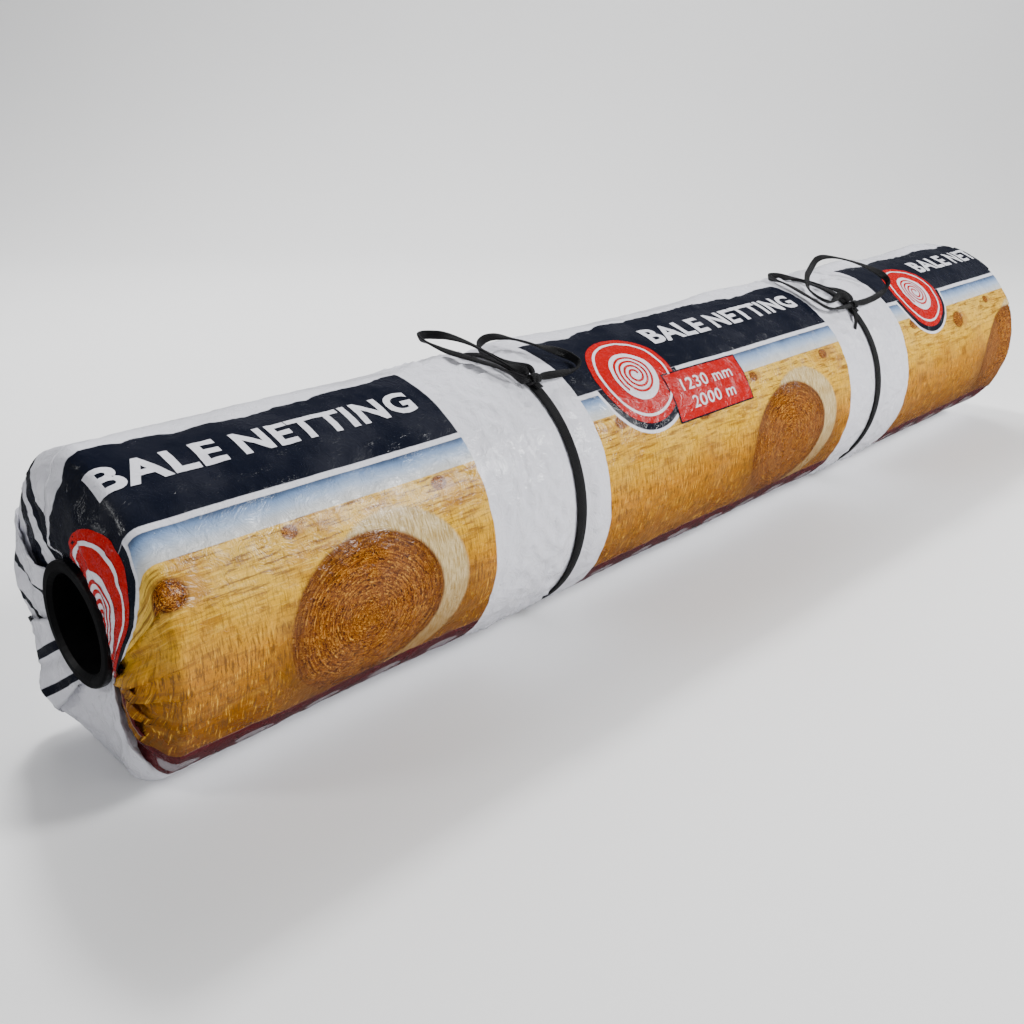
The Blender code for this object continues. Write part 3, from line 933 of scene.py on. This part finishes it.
def bale_body(tree, picture, panel, turn, arc, at, radii):
    """The netted side of the large bale, behind its face, and the shade at its foot."""
    (x, middle), (wide, tall) = at, radii
    shade, _ = inside_ellipse(tree, panel, turn, (x + 0.01, middle + 6.0), (wide * 1.35, tall * 0.98), 0.20)
    picture = blend_colour(tree, calc(tree, "MULTIPLY", shade, 0.65), picture, (0.16, 0.06, 0.008, 1.0))
    body, _ = inside_ellipse(tree, panel, turn, (x + 0.0235, middle - 1.8), (wide, tall * 1.13), 0.03)
    netted = noise_of(tree, point_of(tree, calc(tree, "MULTIPLY", panel, 8.0), arc), 90.0, 4.0, 0.65)
    knit = ease(tree, netted, 0.35, 0.65)
    cream = blend_colour(tree, knit, (0.70, 0.55, 0.29, 1.0), (0.40, 0.26, 0.08, 1.0))
    shaded = ease(tree, turn, middle - 12, middle + 26, 0.0, 0.8)
    cream = blend_colour(tree, shaded, cream, (0.26, 0.13, 0.03, 1.0))
    return blend_colour(tree, body, picture, cream)


def stripe_marks(tree, panel, turn):
    """Pale ovals in a row along the foot of each panel."""
    cell = calc(tree, "SUBTRACT", calc(tree, "FLOORED_MODULO", panel, 0.057), 0.0285)
    found, _ = inside_ellipse(tree, cell, turn, (0.0, 134.0), (0.015, 3.4), 0.1)
    return found


def back_marks(tree, panel, turn):
    """Plain bars and short rules on the back of the film."""
    bars = between(tree, turn, -52.0, -44.0, 0.3)
    bars = calc(tree, "MAXIMUM", bars, between(tree, turn, -37.0, -27.0, 0.3))
    rule = calc(tree, "FLOORED_MODULO", turn, 14.0)
    ruled = between(tree, turn, -140.0, -70.0, 0.3)
    rules = calc(tree, "MULTIPLY", between(tree, rule, 0.0, 3.6, 0.2), ruled)
    inset = between(tree, panel, 0.05, 0.34, 0.0005)
    return calc(tree, "MAXIMUM", bars, calc(tree, "MULTIPLY", rules, inset))


def film_material(settings):
    """Thin glossy printed film, crinkled."""
    made, tree, shader = shader_material("printed film")
    colour, along, turn, arc, spot = film_print(tree, settings)
    place = object_point(tree)
    haze = noise_of(tree, place, 22.0, 4.0, 0.6)
    colour = blend_colour(tree, ease(tree, haze, 0.35, 0.75, 0.0, 0.03), colour, (0.42, 0.42, 0.48, 1.0))
    tree.links.new(colour, shader.inputs["Base Color"])
    rough = ease(tree, haze, 0.3, 0.7, settings.gloss - 0.06, settings.gloss + 0.10)
    tree.links.new(rough, shader.inputs["Roughness"])
    shader.inputs["Specular IOR Level"].default_value = 0.24
    shader.inputs["Coat Weight"].default_value = 0.05
    shader.inputs["Coat Roughness"].default_value = 0.10
    creases = noise_of(tree, place, 75.0, 4.0, 0.62, 0.9)
    sharp = calc(tree, "ABSOLUTE", calc(tree, "SUBTRACT", creases, 0.5))
    fine = noise_of(tree, place, 260.0, 3.0, 0.6, 0.4)
    normal = bump_of(tree, sharp, 0.75, 0.0028)
    normal = bump_of(tree, fine, 0.18, 0.0006, normal)
    tree.links.new(normal, shader.inputs["Normal"])
    return made


def ink_material(name, colour, gloss):
    """One flat ink of the print, under the same gloss as the film."""
    made, tree, shader = shader_material(name)
    place = object_point(tree)
    wear = noise_of(tree, place, 240.0, 4.0, 0.65)
    grain = blend_colour(tree, ease(tree, wear, 0.45, 0.75, 0.0, 0.05), colour, (0.25, 0.25, 0.30, 1.0))
    tree.links.new(grain, shader.inputs["Base Color"])
    tree.links.new(ease(tree, wear, 0.3, 0.7, gloss - 0.05, gloss + 0.10), shader.inputs["Roughness"])
    shader.inputs["Specular IOR Level"].default_value = 0.24
    shader.inputs["Coat Weight"].default_value = 0.05
    shader.inputs["Coat Roughness"].default_value = 0.10
    creases = noise_of(tree, place, 75.0, 4.0, 0.62, 0.9)
    sharp = calc(tree, "ABSOLUTE", calc(tree, "SUBTRACT", creases, 0.5))
    tree.links.new(bump_of(tree, sharp, 0.75, 0.0028), shader.inputs["Normal"])
    return made


def cord_material(settings):
    """Flat woven cord: small diagonal yarns with a painted highlight on their crests, slightly shiny."""
    made, tree, shader = shader_material("woven cord")
    run, across = mapped(tree, "strand")
    lean = calc(tree, "MULTIPLY", calc(tree, "ABSOLUTE", across), 1.1)
    wave = calc(tree, "SINE", calc(tree, "MULTIPLY", calc(tree, "ADD", run, lean), tau / 0.0017))
    yarn = calc(tree, "SINE", calc(tree, "MULTIPLY", across, tau / 0.0013))
    weave = calc(tree, "MULTIPLY", calc(tree, "ADD", wave, 1.2), calc(tree, "ADD", yarn, 1.6))
    fuzz = noise_of(tree, object_point(tree), 900.0, 3.0, 0.7)
    # Painted highlight: the crests of the weave, with random fuzz, are painted lighter than the black yarn.
    painted_weave_highlight = calc(tree, "ADD", ease(tree, weave, 0.4, 4.5, 0.0, 0.75), calc(tree, "MULTIPLY", fuzz, 0.25))
    colour = blend_colour(tree, painted_weave_highlight, settings.colour, (0.012, 0.012, 0.014, 1.0))
    tree.links.new(colour, shader.inputs["Base Color"])
    shader.inputs["Roughness"].default_value = 0.55
    shader.inputs["Specular IOR Level"].default_value = 0.25
    shader.inputs["Sheen Weight"].default_value = 0.06
    shader.inputs["Sheen Roughness"].default_value = 0.4
    normal = bump_of(tree, weave, 0.55, 0.0005)
    tree.links.new(bump_of(tree, fuzz, 0.25, 0.0003, normal), shader.inputs["Normal"])
    return made


def netting_material(settings):
    """Wound netting: knitted chains along the roll's turn, with zigzag threads between them and painted shade in
    the gaps.
    """
    made, tree, shader = shader_material("wound netting")
    along, turn = mapped(tree, "net")
    chain = calc(tree, "FRACT", calc(tree, "MULTIPLY", along, 39.0))
    chain = calc(tree, "ABSOLUTE", calc(tree, "SUBTRACT", chain, 0.5))
    chains = ease(tree, chain, 0.0, 0.07, 1.0, 0.0)
    zig = calc(tree, "FRACT", calc(tree, "MULTIPLY", turn, 28.0))
    zig = calc(tree, "ABSOLUTE", calc(tree, "SUBTRACT", zig, 0.5))
    slope = calc(tree, "ABSOLUTE", calc(tree, "SUBTRACT", zig, chain))
    threads = calc(tree, "MAXIMUM", chains, ease(tree, slope, 0.0, 0.05, 1.0, 0.0))
    layers = noise_of(tree, point_of(tree, along, calc(tree, "MULTIPLY", turn, 0.05)), 300.0, 3.0, 0.6)
    worn = ease(tree, layers, 0.3, 0.7, 0.0, 0.4)
    colour = blend_colour(tree, worn, settings.netting, (0.52, 0.55, 0.58, 1.0))
    # Painted shade: the gaps between the threads are painted darker, for the shaded layers beneath.
    colour = blend_colour(tree, threads, blend_colour(tree, 0.35, colour, (0.30, 0.33, 0.36, 1.0)), colour)
    margin = ease(tree, calc(tree, "ABSOLUTE", along), NET_END - 0.030, NET_END - 0.024)
    colour = blend_colour(tree, calc(tree, "MULTIPLY", margin, 0.6), colour, (0.10, 0.34, 0.14, 1.0))
    tree.links.new(colour, shader.inputs["Base Color"])
    shader.inputs["Roughness"].default_value = 0.62
    tree.links.new(bump_of(tree, threads, 0.6, 0.0008), shader.inputs["Normal"])
    return made


def plastic_material(name, settings):
    """Black moulded plastic with a fine grain and smears."""
    made, tree, shader = shader_material(name)
    place = object_point(tree)
    grain = noise_of(tree, place, 1400.0, 2.0, 0.6)
    smear = noise_of(tree, place, 35.0, 4.0, 0.6)
    rubbed = ease(tree, smear, 0.4, 0.75, 0.0, 0.35)
    colour = blend_colour(tree, rubbed, settings.plastic, (0.010, 0.010, 0.010, 1.0))
    tree.links.new(colour, shader.inputs["Base Color"])
    tree.links.new(ease(tree, smear, 0.3, 0.7, 0.38, 0.60), shader.inputs["Roughness"])
    shader.inputs["Specular IOR Level"].default_value = 0.22
    tree.links.new(bump_of(tree, grain, 0.25, 0.0002), shader.inputs["Normal"])
    return made


def tape_material():
    """Clear brown packing tape."""
    made, tree, shader = shader_material("packing tape")
    place = object_point(tree)
    bubbles = noise_of(tree, place, 160.0, 3.0, 0.6)
    airy = ease(tree, bubbles, 0.5, 0.62)
    colour = blend_colour(tree, airy, (0.52, 0.33, 0.14, 1.0), (0.70, 0.52, 0.30, 1.0))
    tree.links.new(colour, shader.inputs["Base Color"])
    tree.links.new(ease(tree, bubbles, 0.4, 0.7, 0.16, 0.34), shader.inputs["Roughness"])
    tree.links.new(bump_of(tree, bubbles, 0.2, 0.0004), shader.inputs["Normal"])
    return made


# Pieces.

SHARED = {}


def shared(name, build, *given):
    """A material that several pieces have, made once."""
    if name not in SHARED:
        SHARED[name] = build(*given)
    return SHARED[name]


def film_surface():
    if "surface" not in SHARED:
        SHARED["surface"] = FilmSurface()
    return SHARED["surface"]


def decal(name, form, along, turn, lift, material):
    """Lay a flat mesh, in metres from its own middle, on the film as print."""
    clip_to_film(form.data, along)
    points = np.array([v.co for v in form.data.vertices], float).reshape(-1, 3)
    laid = film_surface().at(along + points[:, 0], turn - points[:, 1] / PER_DEGREE, lift)
    for vertex, place in zip(form.data.vertices, laid):
        vertex.co = place
    form.name = name
    form.data.name = name
    form.data.materials.clear()
    form.data.materials.append(material)
    form.data.shade_smooth()
    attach(form, "roll")
    return form


def clip_to_film(mesh, along):
    """Take away what would lie past the film's drawn-in edge."""
    form = bmesh.new()
    form.from_mesh(mesh)
    for side in (-1, 1):
        edge = side * (FILM_HALF - 0.003) - along
        every = list(form.verts) + list(form.edges) + list(form.faces)
        bmesh.ops.bisect_plane(form, geom=every, plane_co=(edge, 0, 0), plane_no=(side, 0, 0), clear_outer=True)
    form.to_mesh(mesh)
    form.free()


def cut_fine(mesh, step):
    """Cut a flat mesh along a square grid, so that it can follow the film."""
    form = bmesh.new()
    form.from_mesh(mesh)
    for axis in (0, 1):
        spots = [v.co[axis] for v in form.verts]
        count = int((max(spots) - min(spots)) / step) + 1
        for i in range(1, count):
            plane = Vector((0, 0, 0))
            plane[axis] = min(spots) + i * step
            normal = Vector((1, 0, 0)) if axis == 0 else Vector((0, 1, 0))
            every = list(form.verts) + list(form.edges) + list(form.faces)
            bmesh.ops.bisect_plane(form, geom=every, plane_co=plane, plane_no=normal, dist=1e-7)
    bmesh.ops.triangulate(form, faces=form.faces)
    form.to_mesh(mesh)
    form.free()


def flat_object(name, mesh):
    made = bpy.data.objects.new(name, mesh)
    bpy.context.scene.collection.objects.link(made)
    return made


def lettering(name, words, width, height, boldness):
    """Plain capitals as a flat mesh of that width and height, about its own middle."""
    curve = bpy.data.curves.new(name, "FONT")
    curve.body = words
    curve.size = 1.0
    curve.offset = boldness
    curve.space_character = 1.08
    curve.resolution_u = 4
    holder = bpy.data.objects.new(name, curve)
    bpy.context.scene.collection.objects.link(holder)
    view = bpy.context.evaluated_depsgraph_get()
    view.update()
    mesh = bpy.data.meshes.new_from_object(holder.evaluated_get(view))
    bpy.data.objects.remove(holder)
    points = np.array([v.co for v in mesh.vertices], float)
    low, high = points.min(0), points.max(0)
    middle = (low + high) / 2
    for vertex in mesh.vertices:
        vertex.co.x = (vertex.co.x - middle[0]) / (high[0] - low[0]) * width
        vertex.co.y = (vertex.co.y - middle[1]) / (high[1] - low[1]) * height
        vertex.co.z = 0.0
    return mesh


def disc_mesh(name, inner, outer, rings=None, start=0.0, end=tau):
    """A flat ring, or a disc where inner is 0."""
    rings = rings or max(2, int((outer - inner) / 0.0024))
    steps = max(24, int(outer * (end - start) / 0.0024))
    radii = np.linspace(max(inner, 1e-4), outer, rings + 1)
    turns = np.linspace(start, end, steps + 1)
    places = np.zeros((rings + 1, steps + 1, 3))
    places[..., 0] = radii[:, None] * np.cos(turns)[None, :]
    places[..., 1] = radii[:, None] * np.sin(turns)[None, :]
    return grid_mesh(name, places)


def spiral_mesh(name, inner, outer, turns, line):
    """A flat spiral line, the sign of a wound bale."""
    steps = int(turns * 48)
    angle = np.linspace(0.0, turns * tau, steps + 1)
    radius = np.linspace(inner, outer, steps + 1)
    places = np.zeros((3, steps + 1, 3))
    for row, offset in enumerate((-line / 2, 0.0, line / 2)):
        places[row, :, 0] = (radius + offset) * np.cos(angle)
        places[row, :, 1] = (radius + offset) * np.sin(angle)
    return grid_mesh(name, places)


def panel_mesh(name, width, height):
    places = np.zeros((int(height / 0.0025) + 1, int(width / 0.0025) + 1, 3))
    places[..., 0] = np.linspace(-width / 2, width / 2, places.shape[1])[None, :]
    places[..., 1] = np.linspace(-height / 2, height / 2, places.shape[0])[:, None]
    return grid_mesh(name, places)


class NETTING_OT_stage(bpy.types.Operator):
    """Camera, pale floor, backdrop and soft studio light"""

    bl_idname = "netting.stage"
    bl_label = "Stage"

    def execute(self, context):
        settings = context.scene.netting_stage
        camera = bpy.data.cameras.new("camera")
        camera.lens = settings.lens
        camera.sensor_width = 36.0
        holder = bpy.data.objects.new("camera", camera)
        context.scene.collection.objects.link(holder)
        holder.location = (-0.8724, -0.6464, 0.4469)
        holder.rotation_euler = Euler((radians(67.905), radians(0.11), radians(-45.317)))
        context.scene.camera = holder
        self.floor(context)
        power = settings.key_power
        self.light(context, "key", (1.3, -1.9, 1.7), (-0.1, 0, 0.1), (0.6, 0.6), power * 2.9)
        self.light(context, "back", (0.15, 1.25, 1.9), (-0.05, 0, 0.1), (0.26, 0.26), power * 1.5, False)
        self.light(context, "end", (-2.2, 0.5, 1.3), (-0.6, 0, 0.1), (0.4, 0.4), power * 0.4)
        self.light(context, "fill", (0.1, -2.3, 1.2), (-0.2, 0, 0.1), (1.4, 1.2), power * 0.9, False)
        self.light(context, "floor", (1.3, 2.4, 2.8), (0.4, 0.9, 0.0), (2.6, 2.0), power * 4.0, False)
        world = context.scene.world or bpy.data.worlds.new("studio")
        context.scene.world = world
        world.use_nodes = True
        world.node_tree.nodes["Background"].inputs[0].default_value = (0.93, 0.95, 1.0, 1.0)
        world.node_tree.nodes["Background"].inputs[1].default_value = 0.12
        return {"FINISHED"}

    def floor(self, context):
        material, tree, shader = shader_material("pale floor")
        cloth = noise_of(tree, object_point(tree), 3.0, 3.0)
        tone = blend_colour(tree, cloth, (0.95, 0.95, 0.95, 1.0), (0.98, 0.98, 0.98, 1.0))
        tree.links.new(tone, shader.inputs["Base Color"])
        shader.inputs["Roughness"].default_value = 0.6
        reach, rise, bend = 5.0, 1.3, 0.8
        profile = [(-reach, 0.0), (1.8, 0.0)]
        profile += [(1.8 + bend * sin(a), bend - bend * cos(a)) for a in np.linspace(0.1, pi / 2, 12)]
        profile.append((1.8 + bend, rise))
        heading = Vector((0.711, 0.703, 0.0))
        side = Vector((-heading.y, heading.x, 0.0))
        rows = [[heading * f + side * s + Vector((0, 0, z - 0.0004)) for s in (-reach, reach)] for f, z in profile]
        mesh = grid_mesh("floor", np.array([[list(p) for p in row] for row in rows]))
        floor = shown("floor", mesh, material)
        floor.visible_glossy = False

    def light(self, context, name, place, aim, size, power, mirrored=True):
        lamp = bpy.data.lights.new(name + " light", "AREA")
        lamp.shape = "RECTANGLE"
        lamp.size, lamp.size_y = size
        lamp.energy = power
        holder = bpy.data.objects.new(name + " light", lamp)
        context.scene.collection.objects.link(holder)
        holder.location = place
        holder.visible_glossy = mirrored
        holder.rotation_euler = (Vector(aim) - Vector(place)).to_track_quat("-Z", "Y").to_euler()


class NETTING_OT_bows(bpy.types.Operator):
    """The four free loops of the two bows, of flat woven cord"""

    bl_idname = "netting.bows"
    bl_label = "Bow loops"

    def execute(self, context):
        settings = context.scene.netting_cord
        for name, middle in LOOP_ROUTES.items():
            tie = name.split("_")[0]
            sign = -1 if name.endswith("left") else 1
            route = smooth_route(self.points(tie, sign, middle, LOOP_RETURNS[name]), 6)
            normals = self.lie(route)
            count = len(route)
            ends = np.minimum(np.arange(count), np.arange(count)[::-1]) / 10.0
            width = settings.width * (0.62 + 0.38 * smooth_step(ends))
            thick = settings.thickness * (1.35 - 0.35 * smooth_step(ends))
            mesh = sweep(name + "_cord", route, normals, width, thick)
            piece = shown(name + "_cord", mesh, shared("cord", cord_material, settings))
            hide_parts(name)
            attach(piece, tie + "_bow")
        return {"FINISHED"}

    def points(self, tie, sign, middle, along):
        centre = np.array(KNOT_CENTRES[tie])
        out = [KNOT_LENGTH / 2 + GAP + step for step in (0, STRAIGHT_OUT)]
        leave = [centre + np.array([sign * reach, 0, 0]) for reach in out]
        turn = radians(LOOP_RETURN_ANGLE)
        back = []
        for reach in (KNOT_R + GAP + STRAIGHT_OUT, KNOT_R + GAP):
            back.append(centre + np.array([along, reach * cos(turn), reach * sin(turn)]))
        return np.array(leave + [np.array(p) for p in middle] + back)

    def lie(self, route):
        """The flat cord lies on the roll, and stands on its edge where it turns within its own plane."""
        tangent = np.gradient(route, axis=0)
        tangent /= np.linalg.norm(tangent, axis=1, keepdims=True)
        out = away_from_axis(route)
        out -= tangent * np.sum(out * tangent, 1, keepdims=True)
        out /= np.linalg.norm(out, axis=1, keepdims=True)
        side = np.cross(tangent, out)
        step = np.linalg.norm(np.gradient(route, axis=0), axis=1, keepdims=True)
        turning = np.sum(np.gradient(tangent, axis=0) / step * side, 1)
        spread = np.exp(-((np.arange(-14, 15) / 7.0) ** 2))
        turning = np.convolve(np.pad(turning, 14, mode="edge"), spread / spread.sum(), "valid")
        tilt = np.radians(72.0) * np.tanh(turning / 45.0)
        tilt += 0.35 * np.sin(np.arange(len(route)) * 0.11)
        return out * np.cos(tilt)[:, None] + side * np.sin(tilt)[:, None]


class NETTING_OT_bands(bpy.types.Operator):
    """The two stretches of flat cord round the roll, and their knots"""

    bl_idname = "netting.bands"
    bl_label = "Cord bands and knots"

    def execute(self, context):
        settings = context.scene.netting_cord
        for tie in TIES:
            self.band(tie, settings)
            self.knot(tie, settings)
        return {"FINISHED"}

    def band(self, tie, settings):
        turns = np.linspace(0.0, tau, 241)
        radius = FILM_R - DENT + GAP + settings.thickness / 2
        drift = 0.0011 * np.sin(turns + 0.8) + 0.0006 * np.sin(3 * turns)
        route = np.stack([TIES[tie] + drift, -radius * np.sin(turns), AXIS_HEIGHT + radius * np.cos(turns)], 1)
        route[:, 2] = np.maximum(route[:, 2], settings.thickness / 2 + 0.0002)
        normals = away_from_axis(route)
        name = tie + "_cord_band_flat"
        width = BAND_WIDTH * (1.0 + 0.05 * np.sin(5 * turns))
        mesh = sweep(name, route, normals, width, settings.thickness)
        piece = shown(name, mesh, shared("cord", cord_material, settings))
        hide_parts(tie + "_cord_band")
        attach(piece, "roll")

    def knot(self, tie, settings):
        """Three tight wraps, a pass under them, and on the far knot a short end."""
        centre = np.array(KNOT_CENTRES[tie])
        down = -away_from_axis(centre[None, :])[0]
        round_roll = np.cross(down, np.array([1.0, 0.0, 0.0]))
        parts = []
        turns = np.linspace(0.0, 3.2 * tau, 150)
        along = np.linspace(-0.0046, 0.0046, 150)
        swell = 0.0030 + 0.0007 * np.cos(along / 0.0046 * pi / 2) + 0.0003 * np.sin(turns * 1.7)
        wraps = centre + along[:, None] * np.array([1.0, 0, 0])
        lift = np.cos(turns)[:, None] * round_roll + np.sin(turns)[:, None] * down
        wraps = wraps + swell[:, None] * lift
        parts.append(sweep("wraps", wraps, lift, 0.0042, 0.0019))
        pass_under = smooth_route(
            [
                centre + down * 0.0030 + round_roll * s + np.array([0.0006 * k, 0, 0])
                for k, s in enumerate((-0.0085, -0.005, 0.0, 0.005, 0.0085))
            ],
            6,
        )
        parts.append(sweep("under", pass_under, np.tile(-down, (len(pass_under), 1)), 0.0075, 0.0018))
        core = smooth_route([centre + np.array([s, 0, 0]) for s in (-0.0062, -0.002, 0.002, 0.0062)], 6)
        parts.append(sweep("core", core, np.tile(-down, (len(core), 1)), 0.0050, 0.0040))
        if tie == "far":
            tail = self.tail(centre, -1, 0.022)
            taper = np.linspace(0.0066, 0.0030, len(tail))
            parts.append(sweep("tail", tail, away_from_axis(tail), taper, 0.0018))
        name = tie + "_cord_knot_tied"
        piece = shown(name, self.joined(name, parts), shared("cord", cord_material, settings))
        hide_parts(tie + "_cord_knot")
        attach(piece, "roll")

    def tail(self, centre, sign, reach):
        """A short cut end that lies down the roll from the knot."""
        turn = np.arctan2(-centre[1], centre[2] - AXIS_HEIGHT)
        steps = np.linspace(0.0, 1.0, 9)
        turns = turn + (0.004 + reach * steps) / FILM_R
        radius = FILM_R + 0.0016 + 0.0022 * np.sin(pi * steps) * (1 - steps)
        along = centre[0] + sign * (0.002 + reach * 0.9 * steps**1.2)
        return np.stack([along, -radius * np.sin(turns), AXIS_HEIGHT + radius * np.cos(turns)], 1)

    def joined(self, name, parts):
        form = bmesh.new()
        for mesh in parts:
            form.from_mesh(mesh)
            bpy.data.meshes.remove(mesh)
        mesh = bpy.data.meshes.new(name)
        form.to_mesh(mesh)
        form.free()
        mesh.shade_smooth()
        return mesh


class NETTING_OT_film(bpy.types.Operator):
    """The printed film sleeve, crinkled along the roll and pleated over both ends"""

    bl_idname = "netting.film"
    bl_label = "Film sleeve"

    def execute(self, context):
        settings = context.scene.netting_film
        surface = film_surface()
        maps = surface.flat.copy()
        maps[..., 1] = maps[..., 1] / PER_DEGREE + SEAM_TURN
        mesh = grid_mesh("film_sleeve_printed", surface.places, maps, "film", wrap_rows=True)
        piece = shown("film_sleeve_printed", mesh, shared("film", film_material, settings))
        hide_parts("film_sleeve")
        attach(piece, "roll")
        return {"FINISHED"}


class NETTING_OT_print(bpy.types.Operator):
    """Lettering, badge and label, as thin print on the film"""

    bl_idname = "netting.print"
    bl_label = "Print"

    def execute(self, context):
        settings = context.scene.netting_film
        white = shared("white ink", ink_material, "white ink", settings.white, settings.gloss)
        red = shared("red ink", ink_material, "red ink", settings.badge, settings.gloss)
        dark = shared("dark ink", ink_material, "dark ink", settings.header, settings.gloss)
        for number in range(3):
            start = PANEL_START + number * REPEAT
            for word, (letters, width, place) in enumerate(WORDS):
                mesh = lettering("word", letters, width, 0.0245, 0.034)
                cut_fine(mesh, 0.0030)
                form = flat_object("word", mesh)
                decal("print_word_%d_%d" % (number, word), form, start + place, 20.3, 0.00040, white)
            self.badge(number, start, red, white)
        self.label(PANEL_START + REPEAT, red, white, dark)
        return {"FINISHED"}

    def badge(self, number, start, red, white):
        """A round badge with the sign of a wound bale."""
        along, turn = start + BADGE_AT[0], BADGE_AT[1]
        disc = flat_object("badge", disc_mesh("badge", 0.0, BADGE_R))
        decal("print_badge_%d" % number, disc, along, turn, 0.00030, red)
        ring = flat_object("ring", disc_mesh("ring", 0.0385, 0.0410))
        decal("print_badge_ring_%d" % number, ring, along, turn, 0.00055, white)
        face = flat_object("face", disc_mesh("face", 0.0, 0.0255))
        decal("print_badge_face_%d" % number, face, along, turn, 0.00055, white)
        coil = flat_object("coil", spiral_mesh("coil", 0.0035, 0.0215, 3.6, 0.0022))
        decal("print_badge_coil_%d" % number, coil, along, turn, 0.00080, red)

    def label(self, start, red, white, dark):
        """A red label with the sizes of the roll."""
        along, turn = start + 0.163, 55.0
        edge = flat_object("edge", panel_mesh("edge", 0.115, 0.0477))
        decal("print_label_edge", edge, along, turn, 0.00045, dark)
        field = flat_object("field", panel_mesh("field", 0.112, 0.0447))
        decal("print_label", field, along, turn, 0.00065, red)
        for row, (words, width) in enumerate((("1230 mm", 0.078), ("2000 m", 0.066))):
            mesh = lettering("size", words, width, 0.0115, 0.012)
            cut_fine(mesh, 0.0030)
            form = flat_object("size", mesh)
            decal("print_label_size_%d" % row, form, along, turn - 4.4 + 8.8 * row, 0.00090, white)


class NETTING_OT_roll(bpy.types.Operator):
    """The wound netting, its tape, the core tube and the end plugs"""

    bl_idname = "netting.roll"
    bl_label = "Netting, tape, core and plugs"

    def execute(self, context):
        settings = context.scene.netting_roll
        self.netting(settings)
        self.tape()
        plastic = {
            "core_tube": "core plastic",
            "near_end_plug": "plug plastic",
            "far_end_plug": "plug plastic",
        }
        for node, name in plastic.items():
            material = shared(name, plastic_material, name, settings)
            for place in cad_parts[node].material_slots:
                place.material = material
        return {"FINISHED"}

    def netting(self, settings):
        """Wound layers: the side is slightly wavy, and the ends show the coil."""
        rng = np.random.default_rng(5)
        inner = CORE_R + GAP
        corner = NET_CORNER_R
        side_r = NET_R
        ends = np.linspace(inner, side_r - corner, 48)
        bends = np.linspace(pi / 2, 0.0, 8)
        right = [(NET_END, r) for r in ends]
        right += [(NET_END - corner + corner * sin(a), side_r - corner + corner * cos(a)) for a in bends[1:]]
        side = [(x, side_r) for x in np.linspace(NET_END - corner, -NET_END + corner, 200)[1:-1]]
        profile = np.array(right + side + [(-x, r) for x, r in reversed(right)])
        turns = np.linspace(0.0, tau, 145)
        places = np.zeros((len(profile), len(turns), 3))
        coil = np.sin((profile[:, 1:2] / 0.0028 - turns[None, :] / tau) * tau)
        on_end = np.abs(profile[:, :1]) > NET_END - 1e-6
        sink = np.where(on_end, 0.00045 * (1 + coil), 0.0)
        x = profile[:, :1] - np.sign(profile[:, :1]) * sink + 0 * turns[None, :]
        wave = 0.00025 * soft_noise(rng, profile[:, :1], turns[None, :] * FILM_R, 0.05)
        radius = profile[:, 1:2] - np.where(on_end, 0.0, 0.0004 + wave)
        places[..., 0] = x
        places[..., 1] = -radius * np.sin(turns)[None, :]
        places[..., 2] = np.maximum(AXIS_HEIGHT + radius * np.cos(turns)[None, :], NET_FLOOR)
        maps = np.zeros((len(profile), len(turns), 2))
        maps[..., 0] = profile[:, :1]
        maps[..., 1] = turns[None, :] / tau
        mesh = grid_mesh("net_roll_wound", places, maps, "net", wrap_rows=True)
        piece = shown("net_roll_wound", mesh, shared("net", netting_material, settings))
        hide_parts("net_roll")
        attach(piece, "roll")

    def tape(self):
        for place in ("left", "middle", "right"):
            node = "tape_strip_" + place
            low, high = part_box(node)
            turns = np.radians(np.linspace(240.0, 300.0, 61))
            xs = np.linspace(low.x, high.x, 21)
            places = np.zeros((len(xs), len(turns), 3))
            radius = NET_R + GAP + 0.0003 + 0.00012 * np.sin(xs[:, None] * 700.0 + 3 * turns[None, :])
            places[..., 0] = xs[:, None]
            places[..., 1] = -radius * np.sin(turns)[None, :]
            places[..., 2] = AXIS_HEIGHT + radius * np.cos(turns)[None, :]
            mesh = grid_mesh(node + "_film", places)
            piece = shown(node + "_film", mesh, shared("tape", tape_material))
            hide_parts(node)
            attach(piece, "roll")


class NETTING_PT_panel(bpy.types.Panel):
    """The steps that dress the roll"""

    bl_idname = "NETTING_PT_panel"
    bl_label = "Netting roll"
    bl_space_type = "VIEW_3D"
    bl_region_type = "UI"
    bl_category = "Netting roll"

    def draw(self, context):
        scene = context.scene
        for settings in (scene.netting_film, scene.netting_cord, scene.netting_roll, scene.netting_stage):
            box = self.layout.box()
            for name in settings.bl_rna.properties.keys():
                if name not in ("rna_type", "name"):
                    box.prop(settings, name)
        for step in OPERATORS:
            self.layout.operator(step.bl_idname)


SETTINGS = {
    "netting_film": FilmSettings,
    "netting_cord": CordSettings,
    "netting_roll": RollSettings,
    "netting_stage": StageSettings,
}
OPERATORS = (
    NETTING_OT_stage,
    NETTING_OT_bows,
    NETTING_OT_bands,
    NETTING_OT_film,
    NETTING_OT_print,
    NETTING_OT_roll,
)


def register():
    for item in (*SETTINGS.values(), *OPERATORS, NETTING_PT_panel):
        bpy.utils.register_class(item)
    for name, settings in SETTINGS.items():
        setattr(bpy.types.Scene, name, PointerProperty(type=settings))


def unregister():
    for name in SETTINGS:
        delattr(bpy.types.Scene, name)
    for item in (NETTING_PT_panel, *reversed(OPERATORS), *SETTINGS.values()):
        bpy.utils.unregister_class(item)


def main():
    register()
    bpy.ops.netting.stage()
    bpy.ops.netting.bows()
    bpy.ops.netting.bands()
    bpy.ops.netting.film()
    bpy.ops.netting.print()
    bpy.ops.netting.roll()


if __name__ == "__main__":
    main()
